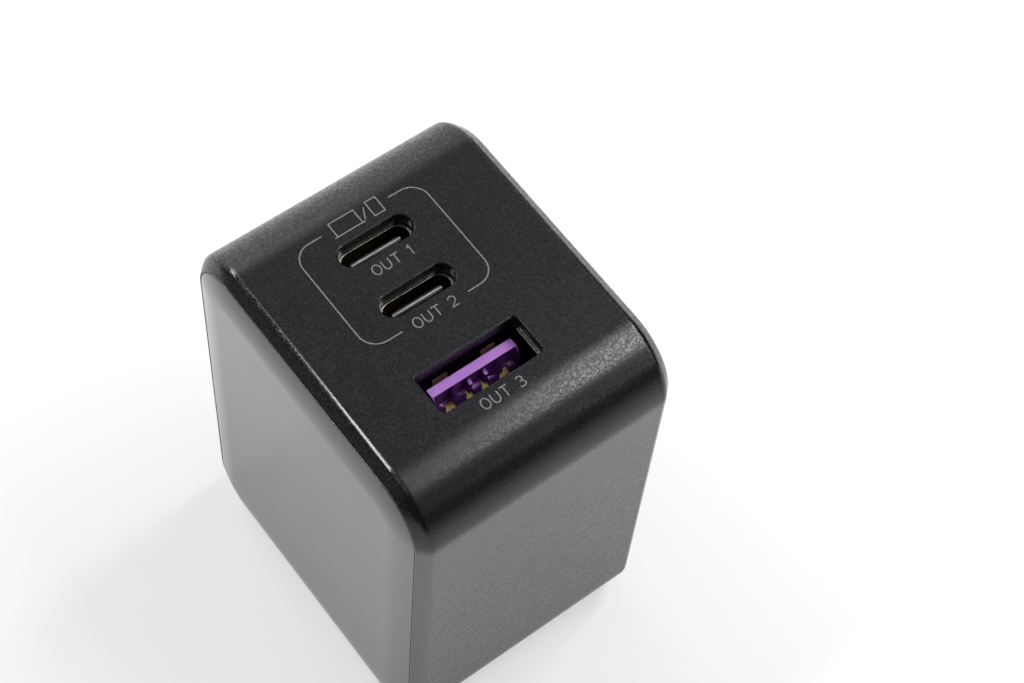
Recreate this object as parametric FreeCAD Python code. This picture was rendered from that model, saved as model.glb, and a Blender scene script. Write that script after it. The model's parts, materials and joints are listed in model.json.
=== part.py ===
"""Three-port wall charger with a folding mains plug, in millimetres.

The origin is the middle of the base that the charger stands on. X runs along the long sides of the
sockets, Y along their row and Z up towards them. The side lid closes the case on -X, and the plug
folds into the base.
"""
import FreeCAD, Part
import math
import os

V = FreeCAD.Vector
touch = 1e-6

# Case
body_width = 33.7
body_depth = 42.0
body_height = 56.0
top_radius = 7.5
base_radius = 6.5
wall = 2.2
side_wall = 2.0
rim_chamfer = 1.2
rim_land = 0.15
lid_thickness = 2.0
lid_crown = 0.7
lid_roll = 12.0
seam_gap = 0.1
skirt_depth = 1.2
skirt_wall = 1.2
skirt_gap = 0.15

# Sockets, seen in the top of the case
port_x = -0.45
slim_port_1_y = 9.3
slim_port_2_y = 1.8
wide_port_y = -9.0
recess_depth = 0.6
recess_margin = 0.4
slot_edge_break = 0.12
socket_height = 12.5
mouth_gap = 0.1
sheet = 0.3
insulator_gap = 0.05

slim_slot_length = 9.2
slim_slot_width = 2.95
slim_shell_length = 8.94
slim_shell_width = 3.16
slim_tongue_length = 6.3
slim_tongue_thickness = 0.7
slim_tip_setback = 0.5
slim_base_height = 5.0
slim_pad_pitch = 0.5
slim_pad_count = 12
slim_pad_width = 0.25
slim_pad_thickness = 0.05
slim_pad_length = 4.0
slim_pad_setback = 0.7

wide_slot_length = 12.95
wide_slot_width = 5.1
wide_slot_corner = 0.4
wide_shell_length = 13.1
wide_shell_width = 5.72
wide_shell_corner = 0.6
wide_tongue_length = 10.9
wide_tongue_thickness = 1.85
wide_tongue_offset = 0.8
wide_tip_setback = 0.8
wide_base_height = 3.0
wide_pocket_depth = 0.75
wide_pocket_height = 2.4
wide_rib_places = (-3.0, -1.0, 1.0, 3.0)
wide_rib_width = 0.4
wide_rib_bevel = 0.5
wide_pin_places = (-3.5, -1.0, 1.0, 3.5)
wide_pin_widths = (1.2, 0.8, 0.8, 1.2)
wide_pin_groove = 0.6
wide_pin_sheet = 0.25
wide_pin_bump = 0.4
wide_pin_bump_height = 1.6
wide_pin_setback = 0.5
wide_pin_play = 0.05
wide_finger_spacing = 6.2
wide_finger_width = 2.0
wide_finger_length = 4.0
wide_finger_rise = 0.45
wide_finger_setback = 1.5

# Folding plug, with blades of the two-pin 12.7 mm pattern
blade_pitch = 12.7
blade_width = 6.35
blade_thickness = 1.5
blade_reach = 16.0
blade_tip_bevel = 1.5
blade_hole = 3.2
blade_hole_setback = 4.2
blade_root_width = 3.8
tail_width = 2.6
tail_length = 5.2
carrier_rim = 0.325
carrier_flat_depth = 0.2
carrier_cheek = 1.6
plug_recess = 0.2
trunnion_radius = 1.5
trunnion_length = 1.8
bearing_gap = 0.05
turning_gap = 0.3
blade_gap = 0.35
cradle_front_wall = 1.6
cradle_end_wall = 1.35
cradle_roof = 0.9
cradle_gap = 0.1
bearing_wall = 1.9
flange_width = 1.2
flange_thickness = 1.2
scoop_radius = 7.0
scoop_depth = 2.8
scoop_margin = 1.8
scoop_setback = 4.7
retainer_thickness = 1.2
retainer_overlap = 5.0
finger_gap = 0.1
screw_radius = 0.7
screw_head_radius = 1.4
screw_head_height = 0.7
screw_length = 4.0
screw_x = 3.0
screw_setback = 2.6
contact_sheet = 0.4
contact_width = 2.4
contact_gap = 0.1
contact_foot = 2.2
contact_slot_gap = 0.1

# Boards
board_thickness = 1.2
board_lid_gap = 1.7
post_size = 3.0
post_inset = 3.0
rail_depth = 1.2
rail_height = 1.6
rail_gap = 0.1
mains_zone_height = 12.4

# Power parts on the main board
part_gap = 0.2
can_length = 20.0
can_neck = 0.35
can_neck_length = 1.0
output_can_length = 12.0
core_width = 17.2
core_plate = 2.3
core_window = 10.0
core_leg = 2.3
core_post = 4.6
core_board_gap = 0.6
core_clearance = 0.1
barrel_wall = 0.5
spool_flange = 0.8
spool_gap = 0.2
winding_margin = 0.25
pin_rail_length = 12.0
opto_length = 6.5
opto_width = 4.4
opto_height = 2.2

# Chips behind the main board, cooled through the side wall
switch_chip_size = 8.0
rectifier_chip_size = 6.0
chip_height = 0.9
chip_spacing = 13.0
pad_thickness = 0.5
spreader_thickness = 0.7
spreader_length = 24.0
spreader_height = 15.0

# Mains parts on the input board
choke_radius = 5.7
choke_core_radius = 4.9
choke_core_hole = 2.6
choke_hole = 1.8
choke_length = 6.2
choke_core_length = 4.6
choke_sector = 130.0
filter_length = 11.5
filter_width = 5.5
filter_height = 10.5
filter_bevel = 0.5
fuse_length = 8.4
fuse_width = 4.3
fuse_height = 7.6
fuse_bevel = 0.4
bridge_length = 11.0
bridge_width = 3.4
bridge_height = 9.5
bridge_bevel = 1.5
varistor_radius = 4.2
varistor_width = 3.4
safety_width = 5.2
safety_length = 7.0
safety_height = 2.8
safety_bevel = 0.3

# Parts on the port board
inductor_width = 4.6
inductor_length = 6.5
inductor_height = 4.5
inductor_bevel = 0.6
controller_size = 4.0

# Places that follow from the sizes above
half_width = body_width / 2
seam_inset = rim_chamfer + rim_land
rim_x = lid_crown - half_width
lid_inset = seam_inset + seam_gap
lid_inner_x = rim_x + lid_thickness
side_inner_x = half_width - side_wall
cavity_y = body_depth / 2 - wall
port_wall = wall - recess_depth
slim_port_places = (slim_port_1_y, slim_port_2_y)
mouth_z = body_height - port_wall - mouth_gap
port_board_top = mouth_z - socket_height
port_board_base = port_board_top - board_thickness
slim_tip_z = mouth_z - slim_tip_setback
wide_tip_z = mouth_z - wide_tip_setback
wide_tongue_y = wide_port_y + wide_tongue_offset
wide_near_y = wide_tongue_y - wide_tongue_thickness / 2
wide_pocket_base = wide_tip_z - wide_pocket_height

blade_x = blade_pitch / 2
carrier_radius = blade_width / 2 + carrier_rim
carrier_flat = carrier_radius - carrier_flat_depth
carrier_room = carrier_radius + turning_gap
carrier_half = blade_x + blade_thickness / 2 + carrier_cheek
bearing_radius = trunnion_radius + bearing_gap
plug_axis_z = carrier_radius + plug_recess
blade_length = blade_reach + plug_axis_z
cradle_half_x = carrier_half + turning_gap + bearing_wall
cradle_half_y = (cradle_front_wall + carrier_room + blade_length + blade_gap + cradle_end_wall) / 2
plug_axis_y = cradle_front_wall + carrier_room - cradle_half_y
blade_tip_y = plug_axis_y + blade_length
blade_top_z = plug_axis_z + blade_width / 2
blade_slot_half = blade_thickness / 2 + blade_gap
cradle_top = blade_top_z + blade_gap + cradle_roof
scoop_y = blade_tip_y - scoop_setback
scoop_half_x = cradle_half_x - scoop_margin
retainer_top = cradle_top + retainer_thickness
retainer_y1 = plug_axis_y + carrier_room + retainer_overlap
screw_y = retainer_y1 - screw_setback
screw_head_z = retainer_top - screw_head_height
screw_tip_z = screw_head_z - screw_length
contact_x = blade_x + blade_thickness / 2 + contact_gap
tail_slot_outer = contact_x + contact_sheet + blade_gap

input_board_top = retainer_top + board_thickness
board_x0 = lid_inner_x + board_lid_gap
board_y = cavity_y - rail_depth - rail_gap
standoff = chip_height + pad_thickness + spreader_thickness
main_board_x1 = side_inner_x - standoff
main_board_x0 = main_board_x1 - board_thickness
chip_z = (input_board_top + port_board_base) / 2
power_zone_base = input_board_top + mains_zone_height
power_zone_height = port_board_base - power_zone_base
can_room = min(power_zone_height, 2 * board_y - core_width)
can_radius = (can_room - 2 * part_gap) / 4
can_pitch = 2 * can_radius + part_gap
can_base_z = power_zone_base + can_radius
can_top_z = can_base_z + can_pitch
can_y0 = can_radius - board_y
can_y1 = can_y0 + can_pitch
core_leg_y = core_width / 2 - core_leg
spool_wall = core_clearance + barrel_wall
spool_reach = core_leg_y - core_post / 2 - spool_gap
winding_thickness = spool_reach - spool_wall - winding_margin
core_breadth = power_zone_height - 2 * (spool_reach + part_gap)
core_y = board_y - core_width / 2
core_z = power_zone_base + power_zone_height / 2
core_x1 = main_board_x0 - core_board_gap
core_split_x = core_x1 - core_plate - core_window / 2
core_x0 = core_x1 - 2 * core_plate - core_window
spool_x0 = core_x0 + core_plate + core_clearance
spool_x1 = core_x1 - core_plate - core_clearance

mains_row_y = plug_axis_y + contact_width / 2 + part_gap
choke_x = board_x0 + choke_length / 2
choke_y = mains_row_y + choke_radius
choke_z = input_board_top + choke_radius
filter_x = board_x0 + choke_length + part_gap
bridge_x = filter_x + filter_width + part_gap
safety_x = board_x0 + varistor_width + part_gap


def block(x_range, y_range, z_range):
    """Box between the ends of three ranges, which may be given in either order."""
    x0, x1 = sorted(x_range)
    y0, y1 = sorted(y_range)
    z0, z1 = sorted(z_range)
    return Part.makeBox(x1 - x0, y1 - y0, z1 - z0, V(x0, y0, z0))


def about(middle, size):
    """Range of a size about its middle."""
    return middle - size / 2, middle + size / 2


def rod_x(radius, x_range, y, z):
    """Cylinder along X."""
    x0, x1 = sorted(x_range)
    return Part.makeCylinder(radius, x1 - x0, V(x0, y, z), V(1, 0, 0))


def rod_z(radius, x, y, z_range):
    """Cylinder along Z."""
    z0, z1 = sorted(z_range)
    return Part.makeCylinder(radius, z1 - z0, V(x, y, z0))


def prism_x(points, x_range):
    """Prism along X on a closed outline of (y, z) points."""
    x0, x1 = x_range
    corners = [V(x0, y, z) for y, z in points]
    outline = Part.makePolygon(corners + corners[:1])
    return Part.Face(outline).extrude(V(x1 - x0, 0, 0))


def on_both_sides(make):
    """Compound of the solids that a function makes for side -1 and side 1."""
    return Part.makeCompound([make(-1), make(1)])


def corner_points(centre, radius, start):
    """Start, middle and end of a quarter arc about a centre (u, v), from a start angle in degrees."""
    angles = [math.radians(start + step) for step in (0, 45, 90)]
    return [(centre[0] + radius * math.cos(a), centre[1] + radius * math.sin(a)) for a in angles]


def rounded_wire(u_range, v_range, low_radius, high_radius, place):
    """Closed outline with round corners; place turns (u, v) into a point in space."""
    u0, u1 = u_range
    v0, v1 = v_range
    corners = [
        corner_points((u1 - low_radius, v0 + low_radius), low_radius, -90),
        corner_points((u1 - high_radius, v1 - high_radius), high_radius, 0),
        corner_points((u0 + high_radius, v1 - high_radius), high_radius, 90),
        corner_points((u0 + low_radius, v0 + low_radius), low_radius, 180),
    ]
    edges = []
    for index, corner in enumerate(corners):
        start, middle, end = [place(u, v) for u, v in corner]
        edges.append(Part.Arc(start, middle, end).toShape())
        following = place(*corners[(index + 1) % len(corners)][0])
        if end.distanceToPoint(following) > touch:
            edges.append(Part.LineSegment(end, following).toShape())
    return Part.Wire(edges)


def body_slice(inset, x_range):
    """Slice of the case outline, drawn in by an inset, between two X planes."""
    x0, x1 = x_range
    outline = rounded_wire(
        about(0, body_depth - 2 * inset),
        (inset, body_height - inset),
        base_radius - inset,
        top_radius - inset,
        lambda y, z: V(x0, y, z),
    )
    return Part.Face(outline).extrude(V(x1 - x0, 0, 0))


def column(length, width, radius, y, z_range):
    """Upright column with a rounded rectangular section, on the line of the sockets."""
    z0, z1 = z_range
    outline = rounded_wire(
        about(port_x, length), about(y, width), radius, radius, lambda u, v: V(u, v, z0)
    )
    return Part.Face(outline).extrude(V(0, 0, z1 - z0))


def slim_column(length, width, y, z_range):
    """Upright column of a slim socket, with full round ends."""
    return column(length, width, width / 2, y, z_range)


def bevelled(shape, size, test):
    """Shape with a bevel on each edge whose bounding box passes a test."""
    return shape.makeChamfer(size, [edge for edge in shape.Edges if test(edge.BoundBox)])


def flat_in_x(box):
    """Whether a bounding box lies in one X plane."""
    return box.XLength < touch


def with_flared_top(cutter):
    """Slot cutter whose mouth opens outwards, so that it leaves a broken edge."""
    rim = max(cutter.Faces, key=lambda face: face.CenterOfMass.z).OuterWire
    lower = rim.copy()
    lower.translate(V(0, 0, -slot_edge_break))
    flare = Part.makeLoft([lower, rim.makeOffset2D(slot_edge_break)], True, True)
    return cutter.fuse(flare)


def housing_shell():
    """Wrapped case with one closed side, open on -X, with polished bevels round both rims."""
    shell = bevelled(body_slice(0, (rim_x, half_width)), rim_chamfer, flat_in_x)
    shell = shell.cut(body_slice(seam_inset, (rim_x, lid_inner_x)))
    shell = shell.cut(body_slice(wall, (lid_inner_x, side_inner_x)))
    for slot in port_slots():
        shell = shell.cut(slot)
    shell = shell.cut(port_recess())
    plug_hole = block(
        about(0, 2 * (cradle_half_x + cradle_gap)),
        about(0, 2 * (cradle_half_y + cradle_gap)),
        (0, cradle_top),
    )
    shell = shell.cut(plug_hole)
    for support in board_supports():
        shell = shell.fuse(support)
    return shell.removeSplitter()


def port_slots():
    """Cutters for the three socket mouths in the top, with their edges broken."""
    heights = (body_height - port_wall, body_height)
    cutters = [slim_column(slim_slot_length, slim_slot_width, y, heights) for y in slim_port_places]
    cutters.append(column(wide_slot_length, wide_slot_width, wide_slot_corner, wide_port_y, heights))
    return [with_flared_top(cutter) for cutter in cutters]


def port_recess():
    """Pocket under the top wall that takes the mouths of the sockets."""
    y0 = wide_port_y - wide_shell_width / 2 - recess_margin
    y1 = slim_port_1_y + slim_shell_width / 2 + recess_margin
    length = wide_shell_length + 2 * recess_margin
    return block(about(port_x, length), (y0, y1), (body_height - wall, body_height - port_wall))


def board_supports():
    """Rails under the port board and posts behind the main board."""
    supports = []
    rail_heights = (port_board_base - rail_height, port_board_base)
    post_heights = (input_board_top + post_inset, port_board_base - post_inset)
    for side in (-1, 1):
        rail_y = (side * cavity_y, side * (cavity_y - rail_depth))
        supports.append(block((board_x0, side_inner_x), rail_y, rail_heights))
        for z in post_heights:
            post_y = about(side * (board_y - post_inset), post_size)
            supports.append(block((main_board_x1, side_inner_x), post_y, about(z, post_size)))
    return supports


def side_lid():
    """Crowned lid that rolls off to the rim all round, with a skirt that locates it in the case."""
    roll_reach = math.sqrt(lid_crown * (2 * lid_roll - lid_crown))
    crown = body_slice(lid_inset + roll_reach - lid_roll, (-half_width, half_width))
    face_edges = [edge for edge in crown.Edges if edge.BoundBox.XMax < touch - half_width]
    crown = crown.makeFillet(lid_roll, face_edges)
    lid = body_slice(lid_inset, (-half_width, lid_inner_x)).common(crown)
    skirt_x = (lid_inner_x, lid_inner_x + skirt_depth)
    skirt = body_slice(wall + skirt_gap, skirt_x)
    skirt = skirt.cut(body_slice(wall + skirt_gap + skirt_wall, skirt_x))
    return lid.fuse(skirt).removeSplitter()


def plug_cradle():
    """Moulding let into the base, with the carrier's bay, the blades' slots and a finger scoop."""
    depth = about(0, 2 * cradle_half_y)
    cradle = block(about(0, 2 * cradle_half_x), depth, (0, cradle_top))
    flange_x = about(0, 2 * (cradle_half_x + flange_width))
    cradle = cradle.fuse(block(flange_x, depth, (wall, wall + flange_thickness)))
    bay_x = about(0, 2 * (carrier_half + turning_gap))
    cradle = cradle.cut(block(bay_x, about(plug_axis_y, 2 * carrier_room), (0, cradle_top)))
    for side in (-1, 1):
        slot_x = about(side * blade_x, 2 * blade_slot_half)
        blade_room = block(slot_x, (plug_axis_y, blade_tip_y + blade_gap), (0, blade_top_z + blade_gap))
        tail_base = plug_axis_z - tail_width / 2 - blade_gap
        tail_room = block(slot_x, (-cradle_half_y, plug_axis_y), (tail_base, cradle_top))
        screw_hole = rod_z(screw_radius, side * screw_x, screw_y, (screw_tip_z, cradle_top))
        for cutter in (blade_room, tail_room, screw_hole, bearing_slot(side, 0)):
            cradle = cradle.cut(cutter)
    scoop = rod_x(scoop_radius, about(0, 2 * scoop_half_x), scoop_y, scoop_depth - scoop_radius)
    return cradle.cut(scoop).removeSplitter()


def bearing_slot(side, play):
    """Upright slot with a round foot for one trunnion, drawn in all round by a play."""
    x_range = (side * (carrier_half + turning_gap + play), side * (cradle_half_x - play))
    radius = bearing_radius - play
    slot = block(x_range, about(plug_axis_y, 2 * radius), (plug_axis_z, cradle_top))
    return slot.fuse(rod_x(radius, x_range, plug_axis_y, plug_axis_z))


def plug_retainer():
    """Plate over the carrier, with fingers that close the two bearings."""
    x_range = about(0, 2 * cradle_half_x)
    y_range = (-cradle_half_y, retainer_y1)
    plate = block(x_range, y_range, (cradle_top, retainer_top))
    trunnion_room = rod_x(bearing_radius, x_range, plug_axis_y, plug_axis_z)
    lower_half = block(x_range, y_range, (0, plug_axis_z))
    tail_back = plug_axis_y - math.hypot(tail_length, tail_width / 2) - blade_gap
    tail_front = plug_axis_y + max(tail_width, contact_width) / 2 + blade_gap
    for side in (-1, 1):
        plate = plate.fuse(bearing_slot(side, finger_gap).cut(trunnion_room).cut(lower_half))
        tail_x = (side * (blade_x - blade_slot_half), side * tail_slot_outer)
        plate = plate.cut(block(tail_x, (tail_back, tail_front), (cradle_top, retainer_top)))
        x = side * screw_x
        plate = plate.cut(rod_z(screw_radius + finger_gap, x, screw_y, (cradle_top, retainer_top)))
        plate = plate.cut(rod_z(screw_head_radius + finger_gap, x, screw_y, (screw_head_z, retainer_top)))
    return plate.removeSplitter()


def retainer_screw(side):
    """Small screw that holds the retainer down on the cradle."""
    x = side * screw_x
    shank = rod_z(screw_radius - bearing_gap, x, screw_y, (screw_tip_z + bearing_gap, screw_head_z))
    return shank.fuse(rod_z(screw_head_radius, x, screw_y, (screw_head_z, retainer_top)))


def blade_carrier():
    """Moulded rotor with two flats and a trunnion at each end, moulded round both blades."""
    x_range = about(0, 2 * carrier_half)
    carrier = rod_x(carrier_radius, x_range, plug_axis_y, plug_axis_z)
    flats = block(
        x_range,
        (plug_axis_y - carrier_radius, plug_axis_y + carrier_flat),
        (plug_axis_z - carrier_flat, plug_axis_z + carrier_radius),
    )
    carrier = carrier.common(flats)
    trunnion_x = about(0, 2 * (carrier_half + trunnion_length))
    carrier = carrier.fuse(rod_x(trunnion_radius, trunnion_x, plug_axis_y, plug_axis_z))
    for side in (-1, 1):
        carrier = carrier.cut(blade(side))
    return carrier.removeSplitter()


def blade(side):
    """Blade folded towards +Y, with a narrow root in the carrier and a contact tail behind it."""
    front = plug_axis_y + carrier_flat
    back = plug_axis_y - carrier_flat
    lower_side = [
        (plug_axis_y - tail_length, -tail_width / 2),
        (back, -tail_width / 2),
        (back, -blade_root_width / 2),
        (front, -blade_root_width / 2),
        (front, -blade_width / 2),
        (blade_tip_y - blade_tip_bevel, -blade_width / 2),
        (blade_tip_y, blade_tip_bevel - blade_width / 2),
    ]
    upper_side = [(y, -z) for y, z in reversed(lower_side)]
    outline = [(y, plug_axis_z + z) for y, z in lower_side + upper_side]
    x_range = about(side * blade_x, blade_thickness)
    plate = prism_x(outline, x_range)
    return plate.cut(rod_x(blade_hole / 2, x_range, blade_tip_y - blade_hole_setback, plug_axis_z))


def mains_contact(side):
    """Leaf that a blade's tail slides against when the plug is folded out, with a soldered foot."""
    y_range = about(plug_axis_y, contact_width)
    foot_top = input_board_top + contact_sheet
    leaf_x = (side * contact_x, side * (contact_x + contact_sheet))
    foot_x = (side * contact_x, side * (contact_x + contact_foot))
    leaf = block(leaf_x, y_range, (plug_axis_z + carrier_room, foot_top))
    return leaf.fuse(block(foot_x, y_range, (input_board_top, foot_top))).removeSplitter()


def input_board():
    """Level board over the plug, with slots for the two mains contacts."""
    heights = (retainer_top, input_board_top)
    board = block((board_x0, main_board_x0), about(0, 2 * board_y), heights)
    y_range = about(plug_axis_y, contact_width + 2 * contact_slot_gap)
    for side in (-1, 1):
        inner = contact_x - contact_slot_gap
        outer = contact_x + contact_sheet + contact_slot_gap
        board = board.cut(block((side * inner, side * outer), y_range, heights))
    return board


def main_board():
    """Upright board along the closed side."""
    heights = (retainer_top, port_board_base)
    return block((main_board_x0, main_board_x1), about(0, 2 * board_y), heights)


def port_board():
    """Level board that carries the sockets, on the rails and the main board."""
    depth = about(0, 2 * (cavity_y - part_gap))
    return block((board_x0, side_inner_x - part_gap), depth, (port_board_base, port_board_top))


def slim_shell(y):
    """Drawn steel shell of a slim socket."""
    heights = (port_board_top, mouth_z)
    shell = slim_column(slim_shell_length, slim_shell_width, y, heights)
    return shell.cut(slim_column(slim_shell_length - 2 * sheet, slim_shell_width - 2 * sheet, y, heights))


def slim_insulator(y):
    """Base block and thin tongue in a slim socket."""
    shrink = 2 * (sheet + insulator_gap)
    base_top = port_board_top + slim_base_height
    base = slim_column(slim_shell_length - shrink, slim_shell_width - shrink, y, (port_board_top, base_top))
    tongue = block(
        about(port_x, slim_tongue_length), about(y, slim_tongue_thickness), (base_top, slim_tip_z)
    )
    return base.fuse(tongue).removeSplitter()


def slim_contacts(y):
    """Contact strips on both faces of a slim socket's tongue."""
    strips = []
    top = slim_tip_z - slim_pad_setback
    for index in range(slim_pad_count):
        x = port_x + (index - (slim_pad_count - 1) / 2) * slim_pad_pitch
        for side in (-1, 1):
            face = y + side * slim_tongue_thickness / 2
            y_range = (face, face + side * slim_pad_thickness)
            strips.append(block(about(x, slim_pad_width), y_range, (top - slim_pad_length, top)))
    return Part.makeCompound(strips)


def wide_shell():
    """Folded steel shell of the wide socket, with spring fingers pressed in from its long walls."""
    heights = (port_board_top, mouth_z)
    shell = column(wide_shell_length, wide_shell_width, wide_shell_corner, wide_port_y, heights)
    inner_width = wide_shell_width - 2 * sheet
    inner_corner = wide_shell_corner - sheet
    shell = shell.cut(column(wide_shell_length - 2 * sheet, inner_width, inner_corner, wide_port_y, heights))
    top = mouth_z - wide_finger_setback
    base = top - wide_finger_length
    for side in (-1, 1):
        face = wide_port_y + side * inner_width / 2
        root = face + side * sheet / 2
        crest = face - side * wide_finger_rise
        outline = [(root, top), (face, top), (crest, (top + base) / 2), (face, base), (root, base)]
        for place in (-1, 1):
            x = port_x + place * wide_finger_spacing / 2
            shell = shell.fuse(prism_x(outline, about(x, wide_finger_width)))
    return shell.removeSplitter()


def wide_insulator():
    """Base block and thick tongue of the wide socket, with ribbed pockets over the contacts."""
    shrink = 2 * (sheet + insulator_gap)
    base_top = port_board_top + wide_base_height
    base = column(
        wide_shell_length - shrink,
        wide_shell_width - shrink,
        wide_shell_corner - shrink / 2,
        wide_port_y,
        (port_board_top, base_top),
    )
    far_y = wide_near_y + wide_tongue_thickness
    pocket_y = (wide_near_y, wide_near_y + wide_pocket_depth)
    outline = [
        (wide_near_y, base_top),
        (far_y, base_top),
        (far_y, wide_tip_z),
        (pocket_y[1], wide_tip_z),
        (wide_near_y, wide_tip_z - wide_rib_bevel),
    ]
    insulator = base.fuse(prism_x(outline, about(port_x, wide_tongue_length)))
    for low, high in wide_pockets():
        insulator = insulator.cut(block((low, high), pocket_y, (wide_pocket_base, wide_tip_z)))
    groove_y = (wide_near_y, wide_near_y + wide_pin_groove)
    for place, pin_width in zip(wide_pin_places, wide_pin_widths):
        groove_x = about(port_x + place, pin_width + 2 * wide_pin_play)
        insulator = insulator.cut(block(groove_x, groove_y, (port_board_top, wide_pocket_base)))
    return insulator.removeSplitter()


def wide_pockets():
    """X ranges of the pockets between the ribs of the wide tongue."""
    reach = (wide_tongue_length - wide_rib_width) / 2
    ribs = [port_x + place for place in (-reach, *wide_rib_places, reach)]
    half_rib = wide_rib_width / 2
    return [(low + half_rib, high - half_rib) for low, high in zip(ribs, ribs[1:])]


def wide_contacts():
    """Four bent contact leaves in the grooves of the wide tongue."""
    back = wide_near_y + wide_pin_groove
    face = back - wide_pin_sheet
    crest = wide_near_y - wide_pin_bump
    top = wide_pocket_base - wide_pin_setback
    base = top - wide_pin_bump_height
    outline = [
        (back, port_board_top),
        (back, top),
        (face, top),
        (crest, (top + base) / 2),
        (face, base),
        (face, port_board_top),
    ]
    pins = zip(wide_pin_places, wide_pin_widths)
    return Part.makeCompound([prism_x(outline, about(port_x + place, width)) for place, width in pins])


def can(y, z, length):
    """Electrolytic can standing on the main board, necked in over its bung."""
    outline = [
        (0, 0),
        (can_radius - can_neck, 0),
        (can_radius, can_neck_length),
        (can_radius, length),
        (0, length),
    ]
    points = [V(main_board_x0 - along, y + radius, z) for radius, along in outline]
    face = Part.Face(Part.makePolygon(points + points[:1]))
    return face.revolve(V(main_board_x0, y, z), V(1, 0, 0), 360)


def around_post(reach, x_range):
    """Block about the core's middle post that stands out from it by a reach."""
    heights = about(core_z, core_breadth + 2 * reach)
    return block(x_range, about(core_y, core_post + 2 * reach), heights)


def core_half(outer_x, plate_x):
    """One ferrite half: a back plate, two outer legs and half of the middle post."""
    heights = about(core_z, core_breadth)
    leg_x = (plate_x, core_split_x)
    half = block((outer_x, plate_x), about(core_y, core_width), heights)
    half = half.fuse(around_post(0, leg_x))
    for side in (-1, 1):
        leg_y = (core_y + side * core_leg_y, core_y + side * core_width / 2)
        half = half.fuse(block(leg_x, leg_y, heights))
    return half.removeSplitter()


def transformer_bobbin():
    """Spool round the core's post, on two pin rails that stand on the main board."""
    spool_x = (spool_x0, spool_x1)
    bobbin = around_post(spool_wall, spool_x)
    bobbin = bobbin.fuse(around_post(spool_reach, (spool_x0, spool_x0 + spool_flange)))
    bobbin = bobbin.fuse(around_post(spool_reach, (spool_x1 - spool_flange, spool_x1)))
    for side in (-1, 1):
        near = core_z + side * (core_breadth / 2 + core_clearance)
        far = core_z + side * (core_breadth / 2 + spool_reach)
        bobbin = bobbin.fuse(block((spool_x1, main_board_x0), about(core_y, pin_rail_length), (near, far)))
    return bobbin.cut(around_post(core_clearance, spool_x)).removeSplitter()


def transformer_winding():
    """Taped winding between the bobbin's flanges, round at the corners that the wire bends over."""
    x0 = spool_x0 + spool_flange
    x1 = spool_x1 - spool_flange
    reach = spool_wall + winding_thickness
    outline = rounded_wire(
        about(core_y, core_post + 2 * reach),
        about(core_z, core_breadth + 2 * reach),
        winding_thickness,
        winding_thickness,
        lambda y, z: V(x0, y, z),
    )
    winding = Part.Face(outline).extrude(V(x1 - x0, 0, 0))
    return winding.cut(around_post(spool_wall, (x0, x1)))


def optocoupler():
    """Feedback coupler on the main board, under the cans."""
    z = (input_board_top + power_zone_base) / 2
    x_range = (main_board_x0 - opto_height, main_board_x0)
    return block(x_range, about(can_y0, opto_width), about(z, opto_length))


def rear_chip(size, y):
    """Flat chip on the back of the main board."""
    return block((main_board_x1, main_board_x1 + chip_height), about(y, size), about(chip_z, size))


def cooling_sheet(x_range):
    """Sheet of the heat spreader's outline, behind the chips."""
    return block(x_range, about(0, spreader_length), about(chip_z, spreader_height))


def choke_ring(radius, hole, length):
    """Ring along X about the middle of the choke, which stands on the input board."""
    x_range = about(choke_x, length)
    ring = rod_x(radius, x_range, choke_y, choke_z)
    return ring.cut(rod_x(hole, x_range, choke_y, choke_z))


def choke_core():
    """Ferrite ring of the mains choke."""
    return choke_ring(choke_core_radius, choke_core_hole, choke_core_length)


def choke_winding(side):
    """Winding wrapped round the upper or lower part of the ring."""
    ring = choke_ring(choke_radius, choke_hole, choke_length)
    base = V(choke_x - choke_length / 2, choke_y, choke_z)
    start = math.radians(side * 90 - choke_sector / 2)
    arm = V(0, math.cos(start), math.sin(start)) * (2 * choke_radius)
    axis = V(1, 0, 0)
    swept = Part.LineSegment(base, base + arm).toShape().revolve(base, axis, choke_sector)
    return ring.common(swept.extrude(axis * choke_length)).cut(choke_core())


def on_input_board(x_range, y_range, height, bevel):
    """Moulded block standing on the input board, with a bevel round its top."""
    top = input_board_top + height
    body = block(x_range, y_range, (input_board_top, top))
    return bevelled(body, bevel, lambda box: box.ZMin > top - touch)


def filter_capacitor():
    """Moulded film capacitor across the mains."""
    x_range = (filter_x, filter_x + filter_width)
    y_range = (mains_row_y, mains_row_y + filter_length)
    return on_input_board(x_range, y_range, filter_height, filter_bevel)


def fuse_link():
    """Square fuse at the board's edge, behind the mains contacts."""
    return on_input_board(
        about(0, fuse_length), (-board_y, fuse_width - board_y), fuse_height, fuse_bevel
    )


def safety_capacitor():
    """Moulded capacitor across the isolation gap, beside the varistor."""
    x_range = (safety_x, safety_x + safety_width)
    return on_input_board(x_range, (board_y - safety_length, board_y), safety_height, safety_bevel)


def bridge_rectifier():
    """Upright rectifier package with one bevelled corner."""
    top = input_board_top + bridge_height
    far_y = mains_row_y + bridge_length
    outline = [
        (mains_row_y, input_board_top),
        (far_y, input_board_top),
        (far_y, top),
        (mains_row_y + bridge_bevel, top),
        (mains_row_y, top - bridge_bevel),
    ]
    return prism_x(outline, (bridge_x, bridge_x + bridge_width))


def varistor():
    """Coated disc standing at the edge of the input board."""
    x_range = (board_x0, board_x0 + varistor_width)
    return rod_x(varistor_radius, x_range, board_y - varistor_radius, input_board_top + varistor_radius)


def beside_sockets(index):
    """Middle of one of two places along the sockets, past the wide one."""
    first = wide_port_y + wide_shell_width / 2 + part_gap + inductor_length / 2
    return first + index * (inductor_length + part_gap)


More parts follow.
